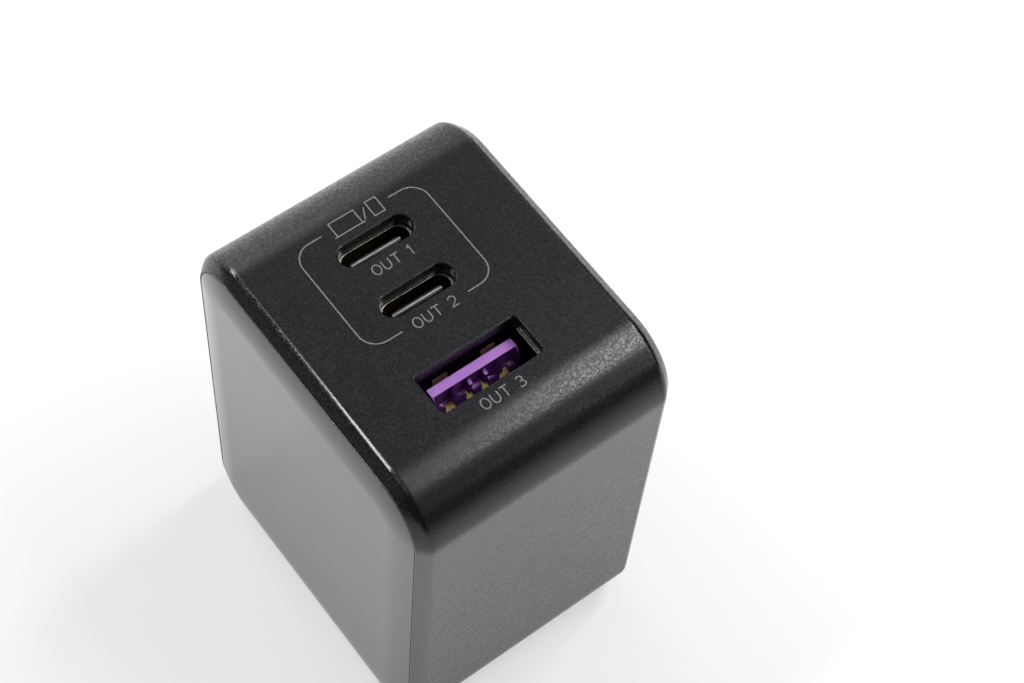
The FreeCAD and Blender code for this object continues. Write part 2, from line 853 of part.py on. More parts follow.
def output_inductor(index):
    """Moulded inductor on the port board, on the lid's side of the sockets."""
    body = block(
        (board_x0, board_x0 + inductor_width),
        about(beside_sockets(index), inductor_length),
        (port_board_top, port_board_top + inductor_height),
    )
    return bevelled(body, inductor_bevel, lambda box: box.ZLength > inductor_height - touch)


def port_controller(index):
    """Control chip on the port board, on the closed side of the sockets."""
    x_range = (main_board_x1 - controller_size, main_board_x1)
    heights = (port_board_top, port_board_top + chip_height)
    return block(x_range, about(beside_sockets(index), controller_size), heights)


def all_parts():
    """Every node of the charger by name."""
    chip_back = main_board_x1 + chip_height
    pad_back = chip_back + pad_thickness
    parts = {
        "housing_shell": housing_shell(),
        "side_lid": side_lid(),
        "plug_cradle": plug_cradle(),
        "plug_retainer": plug_retainer(),
        "retainer_screws": on_both_sides(retainer_screw),
        "blade_carrier": blade_carrier(),
        "input_board": input_board(),
        "main_board": main_board(),
        "port_board": port_board(),
        "wide_port_shell": wide_shell(),
        "wide_port_insulator": wide_insulator(),
        "wide_port_contacts": wide_contacts(),
        "transformer_core_lower": core_half(core_x1, core_x1 - core_plate),
        "transformer_core_upper": core_half(core_x0, core_x0 + core_plate),
        "transformer_bobbin": transformer_bobbin(),
        "transformer_winding": transformer_winding(),
        "bulk_capacitor_1": can(can_y0, can_base_z, can_length),
        "bulk_capacitor_2": can(can_y0, can_top_z, can_length),
        "bulk_capacitor_3": can(can_y1, can_base_z, can_length),
        "output_capacitor": can(can_y1, can_top_z, output_can_length),
        "optocoupler": optocoupler(),
        "switch_chip": rear_chip(switch_chip_size, -chip_spacing / 2),
        "rectifier_chip": rear_chip(rectifier_chip_size, chip_spacing / 2),
        "thermal_pad": cooling_sheet((chip_back, pad_back)),
        "heat_spreader": cooling_sheet((pad_back, side_inner_x)),
        "choke_core": choke_core(),
        "choke_windings": on_both_sides(choke_winding),
        "filter_capacitor": filter_capacitor(),
        "fuse": fuse_link(),
        "bridge_rectifier": bridge_rectifier(),
        "varistor": varistor(),
        "safety_capacitor": safety_capacitor(),
    }
    for index, side in enumerate((-1, 1)):
        parts[f"blade_{index + 1}"] = blade(side)
        parts[f"mains_contact_{index + 1}"] = mains_contact(side)
        parts[f"output_inductor_{index + 1}"] = output_inductor(index)
        parts[f"port_controller_{index + 1}"] = port_controller(index)
    for index, y in enumerate(slim_port_places):
        parts[f"slim_port_{index + 1}_shell"] = slim_shell(y)
        parts[f"slim_port_{index + 1}_insulator"] = slim_insulator(y)
        parts[f"slim_port_{index + 1}_contacts"] = slim_contacts(y)
    return parts


os.makedirs("parts", exist_ok=True)
for name, shape in all_parts().items():
    shape.exportStep(f"parts/{name}.step")
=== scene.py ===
"""Dresses the three-port wall charger: finishes, printed marks, softened edges and a plain studio.

Lengths are in metres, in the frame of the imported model: the case stands on the floor at z = 0 with
its sockets up, the lid on -X and the plug folded into its base.
"""
import json
import logging
import math
from abc import ABC, abstractmethod
from collections.abc import Callable, Iterable, Sequence
from dataclasses import dataclass, field
from enum import Enum, IntEnum
from functools import cache

import bmesh
import bpy
from mathutils import Matrix, Vector

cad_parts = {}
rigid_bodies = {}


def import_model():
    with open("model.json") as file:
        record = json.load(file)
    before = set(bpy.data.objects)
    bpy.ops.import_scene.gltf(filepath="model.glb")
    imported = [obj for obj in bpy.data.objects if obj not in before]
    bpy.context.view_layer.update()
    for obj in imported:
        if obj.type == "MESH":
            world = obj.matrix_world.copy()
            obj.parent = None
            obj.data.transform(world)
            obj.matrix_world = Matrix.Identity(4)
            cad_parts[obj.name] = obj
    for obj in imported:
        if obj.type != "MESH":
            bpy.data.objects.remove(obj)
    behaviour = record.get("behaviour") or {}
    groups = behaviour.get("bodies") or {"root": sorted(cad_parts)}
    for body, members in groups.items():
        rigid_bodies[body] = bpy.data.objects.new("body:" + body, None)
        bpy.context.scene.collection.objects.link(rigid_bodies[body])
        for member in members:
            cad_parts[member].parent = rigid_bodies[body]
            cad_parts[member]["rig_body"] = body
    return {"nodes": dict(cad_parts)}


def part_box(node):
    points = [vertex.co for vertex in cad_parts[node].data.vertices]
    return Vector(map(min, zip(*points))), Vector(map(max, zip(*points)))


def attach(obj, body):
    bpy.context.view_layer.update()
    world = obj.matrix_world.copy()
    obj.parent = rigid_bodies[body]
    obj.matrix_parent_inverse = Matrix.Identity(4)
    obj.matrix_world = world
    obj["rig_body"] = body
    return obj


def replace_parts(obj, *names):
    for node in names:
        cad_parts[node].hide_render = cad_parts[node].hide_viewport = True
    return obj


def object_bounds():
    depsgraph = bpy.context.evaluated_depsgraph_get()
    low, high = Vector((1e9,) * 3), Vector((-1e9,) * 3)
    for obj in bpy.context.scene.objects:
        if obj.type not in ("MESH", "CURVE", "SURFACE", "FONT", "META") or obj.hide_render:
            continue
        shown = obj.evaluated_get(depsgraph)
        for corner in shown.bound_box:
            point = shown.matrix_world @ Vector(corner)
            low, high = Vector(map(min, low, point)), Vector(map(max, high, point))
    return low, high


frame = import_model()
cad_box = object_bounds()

Colour = tuple[float, float, float]
Place = tuple[float, float, float]
Point = tuple[float, float]
Range = tuple[float, float]
Box = tuple[Vector, Vector]
Socket = bpy.types.NodeSocket
Value = Socket | float | Colour
EdgeTest = Callable[[bmesh.types.BMEdge], bool]

MM = 0.001
SAME_PLACE = 1e-6
SHARP_ANGLE = math.radians(33.0)
FLAT_ANGLE = math.radians(0.2)
ROUND_PROFILE = 0.5
RISING: Range = (0.0, 1.0)
FALLING: Range = (1.0, 0.0)
WHITE: Colour = (1.0, 1.0, 1.0)

# Values of the shared effects: layers of noise, bands that are spread to a full range, and densities.
NOISE_BAND: Range = (0.3, 0.7)
DRIFT_LAYERS = 3.0
GRAIN_LAYERS = 1.5
GRAIN_TIPS: Range = (0.42, 0.7)
PIT_DENSITY = 0.6
PIT_SHARE = 0.35
SPECK_EDGE: Range = (0.05, 0.11)
LINE_LAYERS = 2.0
STREAK_LAYERS = 3.0
STREAK_DENSITY = 0.2

log = logging.getLogger("charger")


class Body(Enum):
    """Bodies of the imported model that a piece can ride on."""

    CASE = "case"
    PLUG = "plug"


class Axis(IntEnum):
    """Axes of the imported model's frame."""

    X = 0
    Y = 1
    Z = 2


class Effect(Enum):
    """Shader node groups that several finishes share."""

    TONE_DRIFT = "Tone drift"
    MOULD_GRAIN = "Mould grain"
    DUST = "Dust specks"
    HAIRLINE = "Hairline"


class Graph:
    """Node tree with short calls that add, feed and link its nodes."""

    def __init__(self, tree: bpy.types.NodeTree) -> None:
        """Keeps the tree that the calls work on."""
        self.tree = tree

    def feed(self, socket: Socket, value: Value) -> None:
        """Links a socket to another one, or sets its own value.

        Args:
            socket: Input to feed.
            value: Output to link to it, or a number or colour to set.
        """
        if isinstance(value, Socket):
            self.tree.links.new(value, socket)
        elif socket.type == "RGBA":
            socket.default_value = (*value, 1.0)
        else:
            socket.default_value = value

    def add(self, kind: str, inputs: dict[str | int, Value], **settings: object) -> bpy.types.Node:
        """Adds a shader node.

        Args:
            kind: Name of the node type, without its prefix.
            inputs: What feeds the node's inputs, by name or number.
            settings: Properties of the node.

        Returns:
            The new node.
        """
        node = self.tree.nodes.new(f"ShaderNode{kind}")
        for name, setting in settings.items():
            setattr(node, name, setting)
        for key, value in inputs.items():
            self.feed(node.inputs[key], value)
        return node

    def effect(self, kind: Effect, inputs: dict[str | int, Value]) -> bpy.types.NodeOutputs:
        """Places a shared effect in the tree and gives its outputs."""
        return self.add("Group", inputs, node_tree=effect_tree(kind)).outputs

    def place(self) -> Socket:
        """Gives the place on the object, in metres, in the part's own frame."""
        return self.add("TexCoord", {}).outputs["Object"]

    def axis(self, axis: Axis) -> Socket:
        """Gives the place on the object along one axis."""
        return self.add("SeparateXYZ", {0: self.place()}).outputs[axis]

    def angle(self, centre: Point) -> Socket:
        """Gives the angle in radians about an axis along X.

        Args:
            centre: Y and Z of the axis.

        Returns:
            The angle.
        """
        along = self.math("SUBTRACT", self.axis(Axis.Y), centre[0])
        return self.math("ARCTAN2", self.math("SUBTRACT", self.axis(Axis.Z), centre[1]), along)

    def math(self, operation: str, first: Value, second: Value = 0.0) -> Socket:
        """Works out one number from one or two others."""
        return self.add("Math", {0: first, 1: second}, operation=operation).outputs[0]

    def spread(self, value: Value, start: Range, end: Range, smooth: bool = False) -> Socket:
        """Maps a number from one range to another, and holds it at the ends.

        Args:
            value: Number to map.
            start: Low and high end of the range it comes from.
            end: What it becomes at those ends.
            smooth: Whether it eases in and out.

        Returns:
            The mapped number.
        """
        inputs = {0: value, 1: start[0], 2: start[1], 3: end[0], 4: end[1]}
        easing = "SMOOTHSTEP" if smooth else "LINEAR"
        return self.add("MapRange", inputs, interpolation_type=easing).outputs[0]

    def mix(self, share: Value, first: Value, second: Value) -> Socket:
        """Mixes two colours by the share of the second."""
        return self.add("Mix", {0: share, 6: first, 7: second}, data_type="RGBA").outputs[2]

    def blend(self, share: Value, first: Value, second: Value) -> Socket:
        """Mixes two numbers by the share of the second."""
        return self.add("Mix", {0: share, 2: first, 3: second}, data_type="FLOAT").outputs[0]

    def noise(self, place: Value, scale: Value, layers: float) -> Socket:
        """Adds noise about 0.5, with so many cells in a metre and so many finer layers."""
        return self.add("TexNoise", {"Vector": place, "Scale": scale, "Detail": layers}).outputs[0]


class EffectTree(Graph):
    """Shader node group under construction, with its inputs and outputs."""

    def __init__(self, kind: Effect, inputs: dict[str, str], outputs: dict[str, str]) -> None:
        """Makes the group and its sockets.

        Args:
            kind: Effect that the group gives.
            inputs: Socket type of each input, without its prefix.
            outputs: Socket type of each output.
        """
        super().__init__(bpy.data.node_groups.new(kind.value, "ShaderNodeTree"))
        for side, sockets in (("INPUT", inputs), ("OUTPUT", outputs)):
            for name, socket in sockets.items():
                self.tree.interface.new_socket(name, in_out=side, socket_type=f"NodeSocket{socket}")
        self.given = self.tree.nodes.new("NodeGroupInput").outputs
        self.wanted = self.tree.nodes.new("NodeGroupOutput").inputs

    def cells(self) -> Socket:
        """Turns the input Size into a number of cells in a metre."""
        return self.math("DIVIDE", 1.0, self.given["Size"])

    def give(self, **values: Socket) -> bpy.types.NodeTree:
        """Feeds the group's outputs.

        Args:
            values: What feeds each output, by name.

        Returns:
            The finished group.
        """
        for name, value in values.items():
            self.feed(self.wanted[name], value)
        return self.tree


def tone_drift() -> bpy.types.NodeTree:
    """Builds slow drift between two tones of one colour.

    Returns:
        The group, with the mixed Colour and the Drift itself.
    """
    inputs = {"Low": "Color", "High": "Color", "Size": "Float"}
    tree = EffectTree(Effect.TONE_DRIFT, inputs, {"Colour": "Color", "Drift": "Float"})
    drift = tree.spread(tree.noise(tree.place(), tree.cells(), DRIFT_LAYERS), NOISE_BAND, RISING)
    return tree.give(Colour=tree.mix(drift, tree.given["Low"], tree.given["High"]), Drift=drift)


def mould_grain() -> bpy.types.NodeTree:
    """Builds the grain that a spark-textured mould or a pressed powder leaves.

    Returns:
        The group, with the grain's Height, the Speckle of its bright tips and the Gloss of its facets.
    """
    outputs = {"Height": "Float", "Speckle": "Float", "Gloss": "Float"}
    tree = EffectTree(Effect.MOULD_GRAIN, {"Size": "Float"}, outputs)
    place, cells = tree.place(), tree.cells()
    fine = tree.noise(place, cells, GRAIN_LAYERS)
    pits = tree.add("TexVoronoi", {"Vector": place, "Scale": tree.math("MULTIPLY", cells, PIT_DENSITY)})
    return tree.give(
        Height=tree.blend(PIT_SHARE, fine, pits.outputs["Distance"]),
        Speckle=tree.spread(fine, GRAIN_TIPS, RISING),
        Gloss=tree.add("SeparateColor", {0: pits.outputs["Color"]}).outputs[0],
    )


def dust_specks() -> bpy.types.NodeTree:
    """Builds scattered specks of dust.

    Returns:
        The group, with the specks' Mask.
    """
    tree = EffectTree(Effect.DUST, {"Size": "Float", "Share": "Float"}, {"Mask": "Float"})
    spots = tree.add("TexVoronoi", {"Vector": tree.place(), "Scale": tree.cells()})
    disc = tree.spread(spots.outputs["Distance"], SPECK_EDGE, FALLING)
    draw = tree.add("SeparateColor", {0: spots.outputs["Color"]}).outputs[0]
    return tree.give(Mask=tree.math("MULTIPLY", disc, tree.math("LESS_THAN", draw, tree.given["Share"])))


def hairline() -> bpy.types.NodeTree:
    """Builds the fine lines that drawing, rolling or brushing leaves on metal.

    Returns:
        The group, with the lines' Height and a broader Streak.
    """
    inputs = {"Size": "Float", "Stretch": "Vector"}
    tree = EffectTree(Effect.HAIRLINE, inputs, {"Height": "Float", "Streak": "Float"})
    place = tree.add("Mapping", {"Vector": tree.place(), "Scale": tree.given["Stretch"]}).outputs[0]
    cells = tree.cells()
    broad = tree.noise(place, tree.math("MULTIPLY", cells, STREAK_DENSITY), STREAK_LAYERS)
    return tree.give(
        Height=tree.noise(place, cells, LINE_LAYERS),
        Streak=tree.spread(broad, NOISE_BAND, RISING),
    )


EFFECT_MAKERS: dict[Effect, Callable[[], bpy.types.NodeTree]] = {
    Effect.TONE_DRIFT: tone_drift,
    Effect.MOULD_GRAIN: mould_grain,
    Effect.DUST: dust_specks,
    Effect.HAIRLINE: hairline,
}


@cache
def effect_tree(kind: Effect) -> bpy.types.NodeTree:
    """Builds a shared effect's node group the first time, and keeps it."""
    return EFFECT_MAKERS[kind]()


class Surface(Graph):
    """Material under construction: a node tree with one principled shader."""

    def __init__(self, name: str) -> None:
        """Makes the material and its shader.

        Args:
            name: Name of the material.
        """
        self.material = bpy.data.materials.new(name)
        self.material.use_nodes = True
        super().__init__(self.material.node_tree)
        self.tree.nodes.clear()
        self.shader = self.add("BsdfPrincipled", {})
        self.output = self.add("OutputMaterial", {"Surface": self.shader.outputs[0]})

    def set(self, **values: Value) -> None:
        """Feeds the shader's inputs; an underscore in a name stands for a space."""
        for name, value in values.items():
            self.feed(self.shader.inputs[name.replace("_", " ")], value)

    def relief(self, height: Value, depth: float) -> None:
        """Raises the surface by a height that is a share of a depth in metres."""
        bump = self.add("Bump", {"Strength": 1.0, "Distance": depth, "Height": height})
        self.set(Normal=bump.outputs[0])


def shaded(colour: Colour, share: float) -> Colour:
    """Gives a colour with only a share of its light."""
    return tuple(share * part for part in colour)


@dataclass(frozen=True)
class Finish(ABC):
    """Look of one kind of surface."""

    name: str
    roughness: float

    @abstractmethod
    def paint(self, surface: Surface) -> None:
        """Feeds the shader of a material under construction."""


@cache
def material_of(finish: Finish) -> bpy.types.Material:
    """Builds a finish's material the first time, and keeps it.

    Args:
        finish: Finish to use.

    Returns:
        Its material.
    """
    surface = Surface(finish.name)
    finish.paint(surface)
    return surface.material


@dataclass(frozen=True)
class TonedFinish(Finish):
    """Finish in one colour that drifts between a low and a high tone."""

    low: Colour
    high: Colour
    drift: float = 6.0 * MM
    gloss_swing: float = 0.1

    def tones(self, surface: Surface) -> bpy.types.NodeOutputs:
        """Places the drift in a material."""
        sizes = {"Low": self.low, "High": self.high, "Size": self.drift}
        return surface.effect(Effect.TONE_DRIFT, sizes)

    def drifting_gloss(self, surface: Surface, tones: bpy.types.NodeOutputs) -> Socket:
        """Gives a roughness that rises with the drift."""
        return surface.spread(tones["Drift"], RISING, (self.roughness, self.roughness + self.gloss_swing))


@dataclass(frozen=True)
class MouldedFinish(TonedFinish):
    """Moulded, pressed, cast or dipped surface with a fine grain, and a coat or dust where it has them."""

    gloss_swing: float = 0.04
    grain: float = 0.12 * MM
    depth: float = 0.004 * MM
    ior: float = 1.5
    coat: float = 0.0
    coat_low: float = 0.0
    coat_heights: Range = (10.0 * MM, 44.0 * MM)
    coat_roughness: float = 0.1
    dust: float = 0.0
    dust_size: float = 0.8 * MM
    dust_colour: Colour = (0.1, 0.1, 0.1)

    def grained(self, surface: Surface) -> bpy.types.NodeOutputs:
        """Places the grain in a material."""
        return surface.effect(Effect.MOULD_GRAIN, {"Size": self.grain})

    def matte(self, surface: Surface, mask: Socket) -> Socket:
        """Gives a roughness that falls where a mask of the grain is high."""
        ends = (self.roughness + self.gloss_swing, self.roughness - self.gloss_swing)
        return surface.spread(mask, RISING, ends)

    def tone(self, surface: Surface) -> Socket:
        """Gives the colour that drifts over the surface, with dust on it.

        Args:
            surface: Material under construction.

        Returns:
            The colour.
        """
        colour = self.tones(surface)["Colour"]
        if not self.dust:
            return colour
        specks = surface.effect(Effect.DUST, {"Size": self.dust_size, "Share": self.dust})
        return surface.mix(specks["Mask"], colour, self.dust_colour)

    def coating(self, surface: Surface) -> Value:
        """Gives the weight of the coat, which wears thin towards the foot.

        Args:
            surface: Material under construction.

        Returns:
            The weight.
        """
        if not self.coat:
            return 0.0
        return surface.spread(surface.axis(Axis.Z), self.coat_heights, (self.coat_low, self.coat))

    def coated(self, surface: Surface) -> None:
        """Sets the refraction and the coat, of which only the weight varies."""
        surface.set(IOR=self.ior, Coat_Weight=self.coating(surface))
        surface.set(Coat_Roughness=self.coat_roughness, Coat_IOR=self.ior)

    def paint(self, surface: Surface) -> None:
        """Feeds the material's shader.

        Args:
            surface: Material under construction.
        """
        grain = self.grained(surface)
        surface.set(Base_Color=self.tone(surface), Roughness=self.matte(surface, grain["Speckle"]))
        self.coated(surface)
        surface.relief(grain["Height"], self.depth)


@dataclass(frozen=True)
class WrapFinish(MouldedFinish):
    """Textured wrap with polished rims and socket mouths, and a smooth closed side; the mouths' walls carry
    painted shade, a near-black colour.
    """

    middle: float = 0.35 * MM
    half_width: float = 16.5 * MM
    height: float = 56.0 * MM
    rim: float = 1.4 * MM
    rim_blur: float = 0.05 * MM
    rim_roughness: Range = (0.1, 0.24)
    rim_polish: Range = (15.6 * MM, 15.9 * MM)
    side_roughness: float = 0.26
    mouth_roughness: Range = (0.42, 0.14)
    mouth_polish: Range = (55.6 * MM, 55.85 * MM)
    mouth_blur: float = 0.003 * MM
    # Painted shade: the near-black colour of the socket mouths' walls, standing in for the shade inside the
    # sockets.
    mouth_painted_shade: Colour = (0.0015, 0.0016, 0.0018)
    mouth_reach: Point = (14.0 * MM, 13.0 * MM)
    mouth_depth: float = 3.0 * MM
    bend: float = 49.5 * MM
    tip: Colour = (0.07, 0.073, 0.078)
    tip_band: Range = (0.5, 1.0)
    tip_share: float = 0.13
    facets: Range = (0.5, 0.9)
    sparkle: float = 1.0
    glint_heights: Range = (51.5 * MM, 54.6 * MM)

    def mouths(self, surface: Surface) -> Socket:
        """Marks the walls of the socket mouths.

        Args:
            surface: Material under construction.

        Returns:
            The mask.
        """
        up = surface.axis(Axis.Z)
        top = (self.height - self.mouth_blur, self.height - SAME_PLACE)
        mask = surface.spread(up, top, FALLING)
        for axis, reach in zip((Axis.X, Axis.Y), self.mouth_reach):
            near = surface.math("LESS_THAN", surface.math("ABSOLUTE", surface.axis(axis)), reach)
            mask = surface.math("MULTIPLY", mask, near)
        high = surface.math("GREATER_THAN", up, self.height - self.mouth_depth)
        return surface.math("MULTIPLY", mask, high)

    def coating(self, surface: Surface) -> Value:
        """Gives the weight of the coat, which on the bend and the top breaks into single facets.

        Args:
            surface: Material under construction.

        Returns:
            The weight.
        """
        up = surface.axis(Axis.Z)
        walls = surface.spread(up, (self.coat_heights[1], self.bend), FALLING)
        glints = surface.spread(self.grained(surface)["Gloss"], self.facets, (0.0, self.sparkle))
        glints = surface.math("MULTIPLY", glints, surface.spread(up, self.glint_heights, RISING))
        return surface.blend(walls, glints, super().coating(surface))

    def polish(self, surface: Surface, across: Socket, outwards: Socket, mouths: Socket) -> Socket:
        """Gives the roughness of the rims, the closed side and the socket mouths.

        Args:
            surface: Material under construction.
            across: Place along X from the middle of the wrap.
            outwards: How far that is from the middle, on either side.
            mouths: Mask of the socket mouths.

        Returns:
            The roughness.
        """
        side_edge = (self.half_width - self.rim_blur, self.half_width - SAME_PLACE)
        side = surface.spread(across, side_edge, RISING)
        rims = surface.spread(outwards, self.rim_polish, self.rim_roughness)
        smooth = surface.blend(side, rims, self.side_roughness)
        walls = surface.spread(surface.axis(Axis.Z), self.mouth_polish, self.mouth_roughness)
        return surface.blend(mouths, smooth, walls)

    def paint(self, surface: Surface) -> None:
        """Feeds the material's shader.

        Args:
            surface: Material under construction.
        """
        across = surface.math("SUBTRACT", surface.axis(Axis.X), self.middle)
        outwards = surface.math("ABSOLUTE", across)
        edge = self.half_width - self.rim
        rim = surface.spread(outwards, (edge - self.rim_blur, edge + self.rim_blur), RISING)
        mouths = self.mouths(surface)
        polished = surface.math("MAXIMUM", rim, mouths)
        textured = surface.math("SUBTRACT", 1.0, polished)
        smooth = self.polish(surface, across, outwards, mouths)
        grain = self.grained(surface)
        tips = surface.spread(grain["Speckle"], self.tip_band, (0.0, self.tip_share))
        # Painted shade: the mouths' walls take the near-black colour.
        tone = surface.mix(mouths, self.tone(surface), self.mouth_painted_shade)
        surface.set(
            Base_Color=surface.mix(surface.math("MULTIPLY", tips, textured), tone, self.tip),
            Roughness=surface.blend(polished, self.matte(surface, grain["Gloss"]), smooth),
        )
        self.coated(surface)
        surface.relief(surface.math("MULTIPLY", grain["Height"], textured), self.depth)


@dataclass(frozen=True)
class WallShadedTongueFinish(MouldedFinish):
    """Moulding whose standing walls carry painted shade: a deeper colour than its ends, standing in for the
    shade in its pockets.
    """

    # Painted shade: the deeper colour of the walls, standing in for the shade in the tongue's pockets.
    wall: Colour = (0.085, 0.018, 0.15)
    end_band: Range = (0.2, 0.8)

    def tone(self, surface: Surface) -> Socket:
        """Gives the colour, with painted shade that deepens it on the walls.

        Args:
            surface: Material under construction.

        Returns:
            The colour.
        """
        facing = surface.add("SeparateXYZ", {0: surface.add("TexCoord", {}).outputs["Normal"]})
        # Painted shade: faces that stand nearly straight get the deeper colour.
        wall_shade_share = surface.spread(facing.outputs[Axis.Z], self.end_band, FALLING)
        return surface.mix(wall_shade_share, super().tone(surface), self.wall)


@dataclass(frozen=True)
class MetalFinish(TonedFinish):
    """Bare or plated metal with fine lines along one direction."""

    drift: float = 4.0 * MM
    gloss_swing: float = 0.06
    line: float = 0.05 * MM
    stretch: Place = (1.0, 1.0, 0.05)
    depth: float = 0.001 * MM
    metallic: float = 1.0

    def paint(self, surface: Surface) -> None:
        """Feeds the material's shader.

        Args:
            surface: Material under construction.
        """
        lines = surface.effect(Effect.HAIRLINE, {"Size": self.line, "Stretch": self.stretch})
        gloss = (self.roughness - self.gloss_swing, self.roughness + self.gloss_swing)
        surface.set(
            Base_Color=self.tones(surface)["Colour"],
            Metallic=self.metallic,
            Roughness=surface.spread(lines["Streak"], RISING, gloss),
        )
        surface.relief(lines["Height"], self.depth)


@dataclass(frozen=True)
class BoardFinish(TonedFinish):
    """Circuit board with copper runs that show through its solder mask."""

    name: str = "solder_mask"
    roughness: float = 0.34
    low: Colour = (0.012, 0.085, 0.04)
    high: Colour = (0.02, 0.12, 0.055)
    drift: float = 5.0 * MM
    gloss_swing: float = 0.08
    run: Colour = (0.035, 0.2, 0.09)
    run_pitch: float = 1.6 * MM
    run_band: Range = (0.62, 0.72)
    run_height: float = 0.01 * MM

    def paint(self, surface: Surface) -> None:
        """Feeds the material's shader.

        Args:
            surface: Material under construction.
        """
        tones = self.tones(surface)
        inputs = {"Vector": surface.place(), "Scale": 1.0 / self.run_pitch}
        grid = surface.add("TexVoronoi", inputs, distance="MANHATTAN", feature="F2")
        runs = surface.spread(grid.outputs["Distance"], self.run_band, RISING)
        surface.set(
            Base_Color=surface.mix(runs, tones["Colour"], self.run),
            Roughness=self.drifting_gloss(surface, tones),
        )
        surface.relief(runs, self.run_height)


@dataclass(frozen=True)
class TapeFinish(TonedFinish):
    """Turns of tape wrapped round a winding, whose edges show as bands along X."""

    name: str = "wrapped_tape"
    roughness: float = 0.36
    low: Colour = (0.62, 0.4, 0.05)
    high: Colour = (0.78, 0.55, 0.1)
    drift: float = 3.0 * MM
    turn: float = 2.1 * MM
    step: float = 0.03 * MM
    edge_band: Range = (0.0, 0.06)
    edge_light: Range = (0.55, 1.0)
    edge_shade: float = 0.5

    def paint(self, surface: Surface) -> None:
        """Feeds the material's shader.

        Args:
            surface: Material under construction.
        """
        tones = self.tones(surface)
        ramp = surface.math("FRACT", surface.math("DIVIDE", surface.axis(Axis.X), self.turn))
        edge = surface.spread(ramp, self.edge_band, self.edge_light)
        surface.set(
            Base_Color=surface.mix(edge, shaded(self.low, self.edge_shade), tones["Colour"]),
            Roughness=self.drifting_gloss(surface, tones),
        )
        surface.relief(ramp, self.step)


@dataclass(frozen=True)
class WireFinish(TonedFinish):
    """Enamelled wire wound round a ring whose axis lies along X."""

    name: str = "enamelled_wire"
    roughness: float = 0.24
    low: Colour = (0.5, 0.19, 0.06)
    high: Colour = (0.68, 0.3, 0.11)
    drift: float = 2.0 * MM
    turns: float = 64.0
    wire: float = 0.25 * MM
    metallic: float = 0.85
    groove_band: Range = (0.0, 0.35)
    groove_light: Range = (0.25, 1.0)
    groove_shade: float = 0.2
    centre: Point = field(kw_only=True)

    def paint(self, surface: Surface) -> None:
        """Feeds the material's shader.

        Args:
            surface: Material under construction.
        """
        phase = surface.math("SINE", surface.math("MULTIPLY", surface.angle(self.centre), self.turns))
        strand = surface.spread(phase, (-1.0, 1.0), RISING)
        groove = surface.spread(strand, self.groove_band, self.groove_light)
        tones = self.tones(surface)
        surface.set(
            Base_Color=surface.mix(groove, shaded(self.low, self.groove_shade), tones["Colour"]),
            Metallic=self.metallic,
            Roughness=self.drifting_gloss(surface, tones),
        )
        surface.relief(strand, self.wire)


@dataclass(frozen=True)
class CanFinish(TonedFinish):
    """Sleeved capacitor can lying along X, with a bare metal lid and a pale polarity stripe."""

    roughness: float = 0.2
    low: Colour = (0.016, 0.03, 0.07)
    high: Colour = (0.024, 0.042, 0.095)
    drift: float = 4.0 * MM
    stripe: Colour = (0.42, 0.45, 0.5)
    stripe_half_angle: float = 0.35
    metal: Colour = (0.66, 0.66, 0.67)
    lid_edge: float = 0.05 * MM
    lid_roughness: float = 0.36
    grain: float = 0.3 * MM
    depth: float = 0.004 * MM
    centre: Point = field(kw_only=True)
    lid_x: float = field(kw_only=True)

    def paint(self, surface: Surface) -> None:
        """Feeds the material's shader.

        Args:
            surface: Material under construction.
        """
        lid = surface.spread(surface.axis(Axis.X), (self.lid_x, self.lid_x + self.lid_edge), FALLING)
        turned = surface.math("ABSOLUTE", surface.angle(self.centre))
        striped = surface.math("LESS_THAN", turned, self.stripe_half_angle)
        printed = surface.mix(striped, self.tones(surface)["Colour"], self.stripe)
        surface.set(
            Base_Color=surface.mix(lid, printed, self.metal),
            Metallic=lid,
            Roughness=surface.blend(lid, self.roughness, self.lid_roughness),
        )
        surface.relief(surface.effect(Effect.MOULD_GRAIN, {"Size": self.grain})["Height"], self.depth)


@dataclass(frozen=True)
class InkFinish(Finish):
    """Thin grey ink that lets the grain of the wrap break it up."""

    name: str = "printed_grey"
    roughness: float = 0.5
    gloss_swing: float = 0.1
    ink: Colour = (0.2, 0.205, 0.21)
    pit: Colour = (0.1, 0.103, 0.107)
    cover_band: Range = (0.0, 0.5)
    grain: float = 0.11 * MM
    depth: float = 0.008 * MM

    def paint(self, surface: Surface) -> None:
        """Feeds the material's shader.

        Args:
            surface: Material under construction.
        """
        grain = surface.effect(Effect.MOULD_GRAIN, {"Size": self.grain})
        cover = surface.spread(grain["Speckle"], self.cover_band, RISING)
        surface.set(
            Base_Color=surface.mix(cover, self.pit, self.ink),
            Roughness=surface.spread(cover, RISING, (self.roughness + self.gloss_swing, self.roughness)),
        )
        surface.relief(grain["Height"], self.depth)


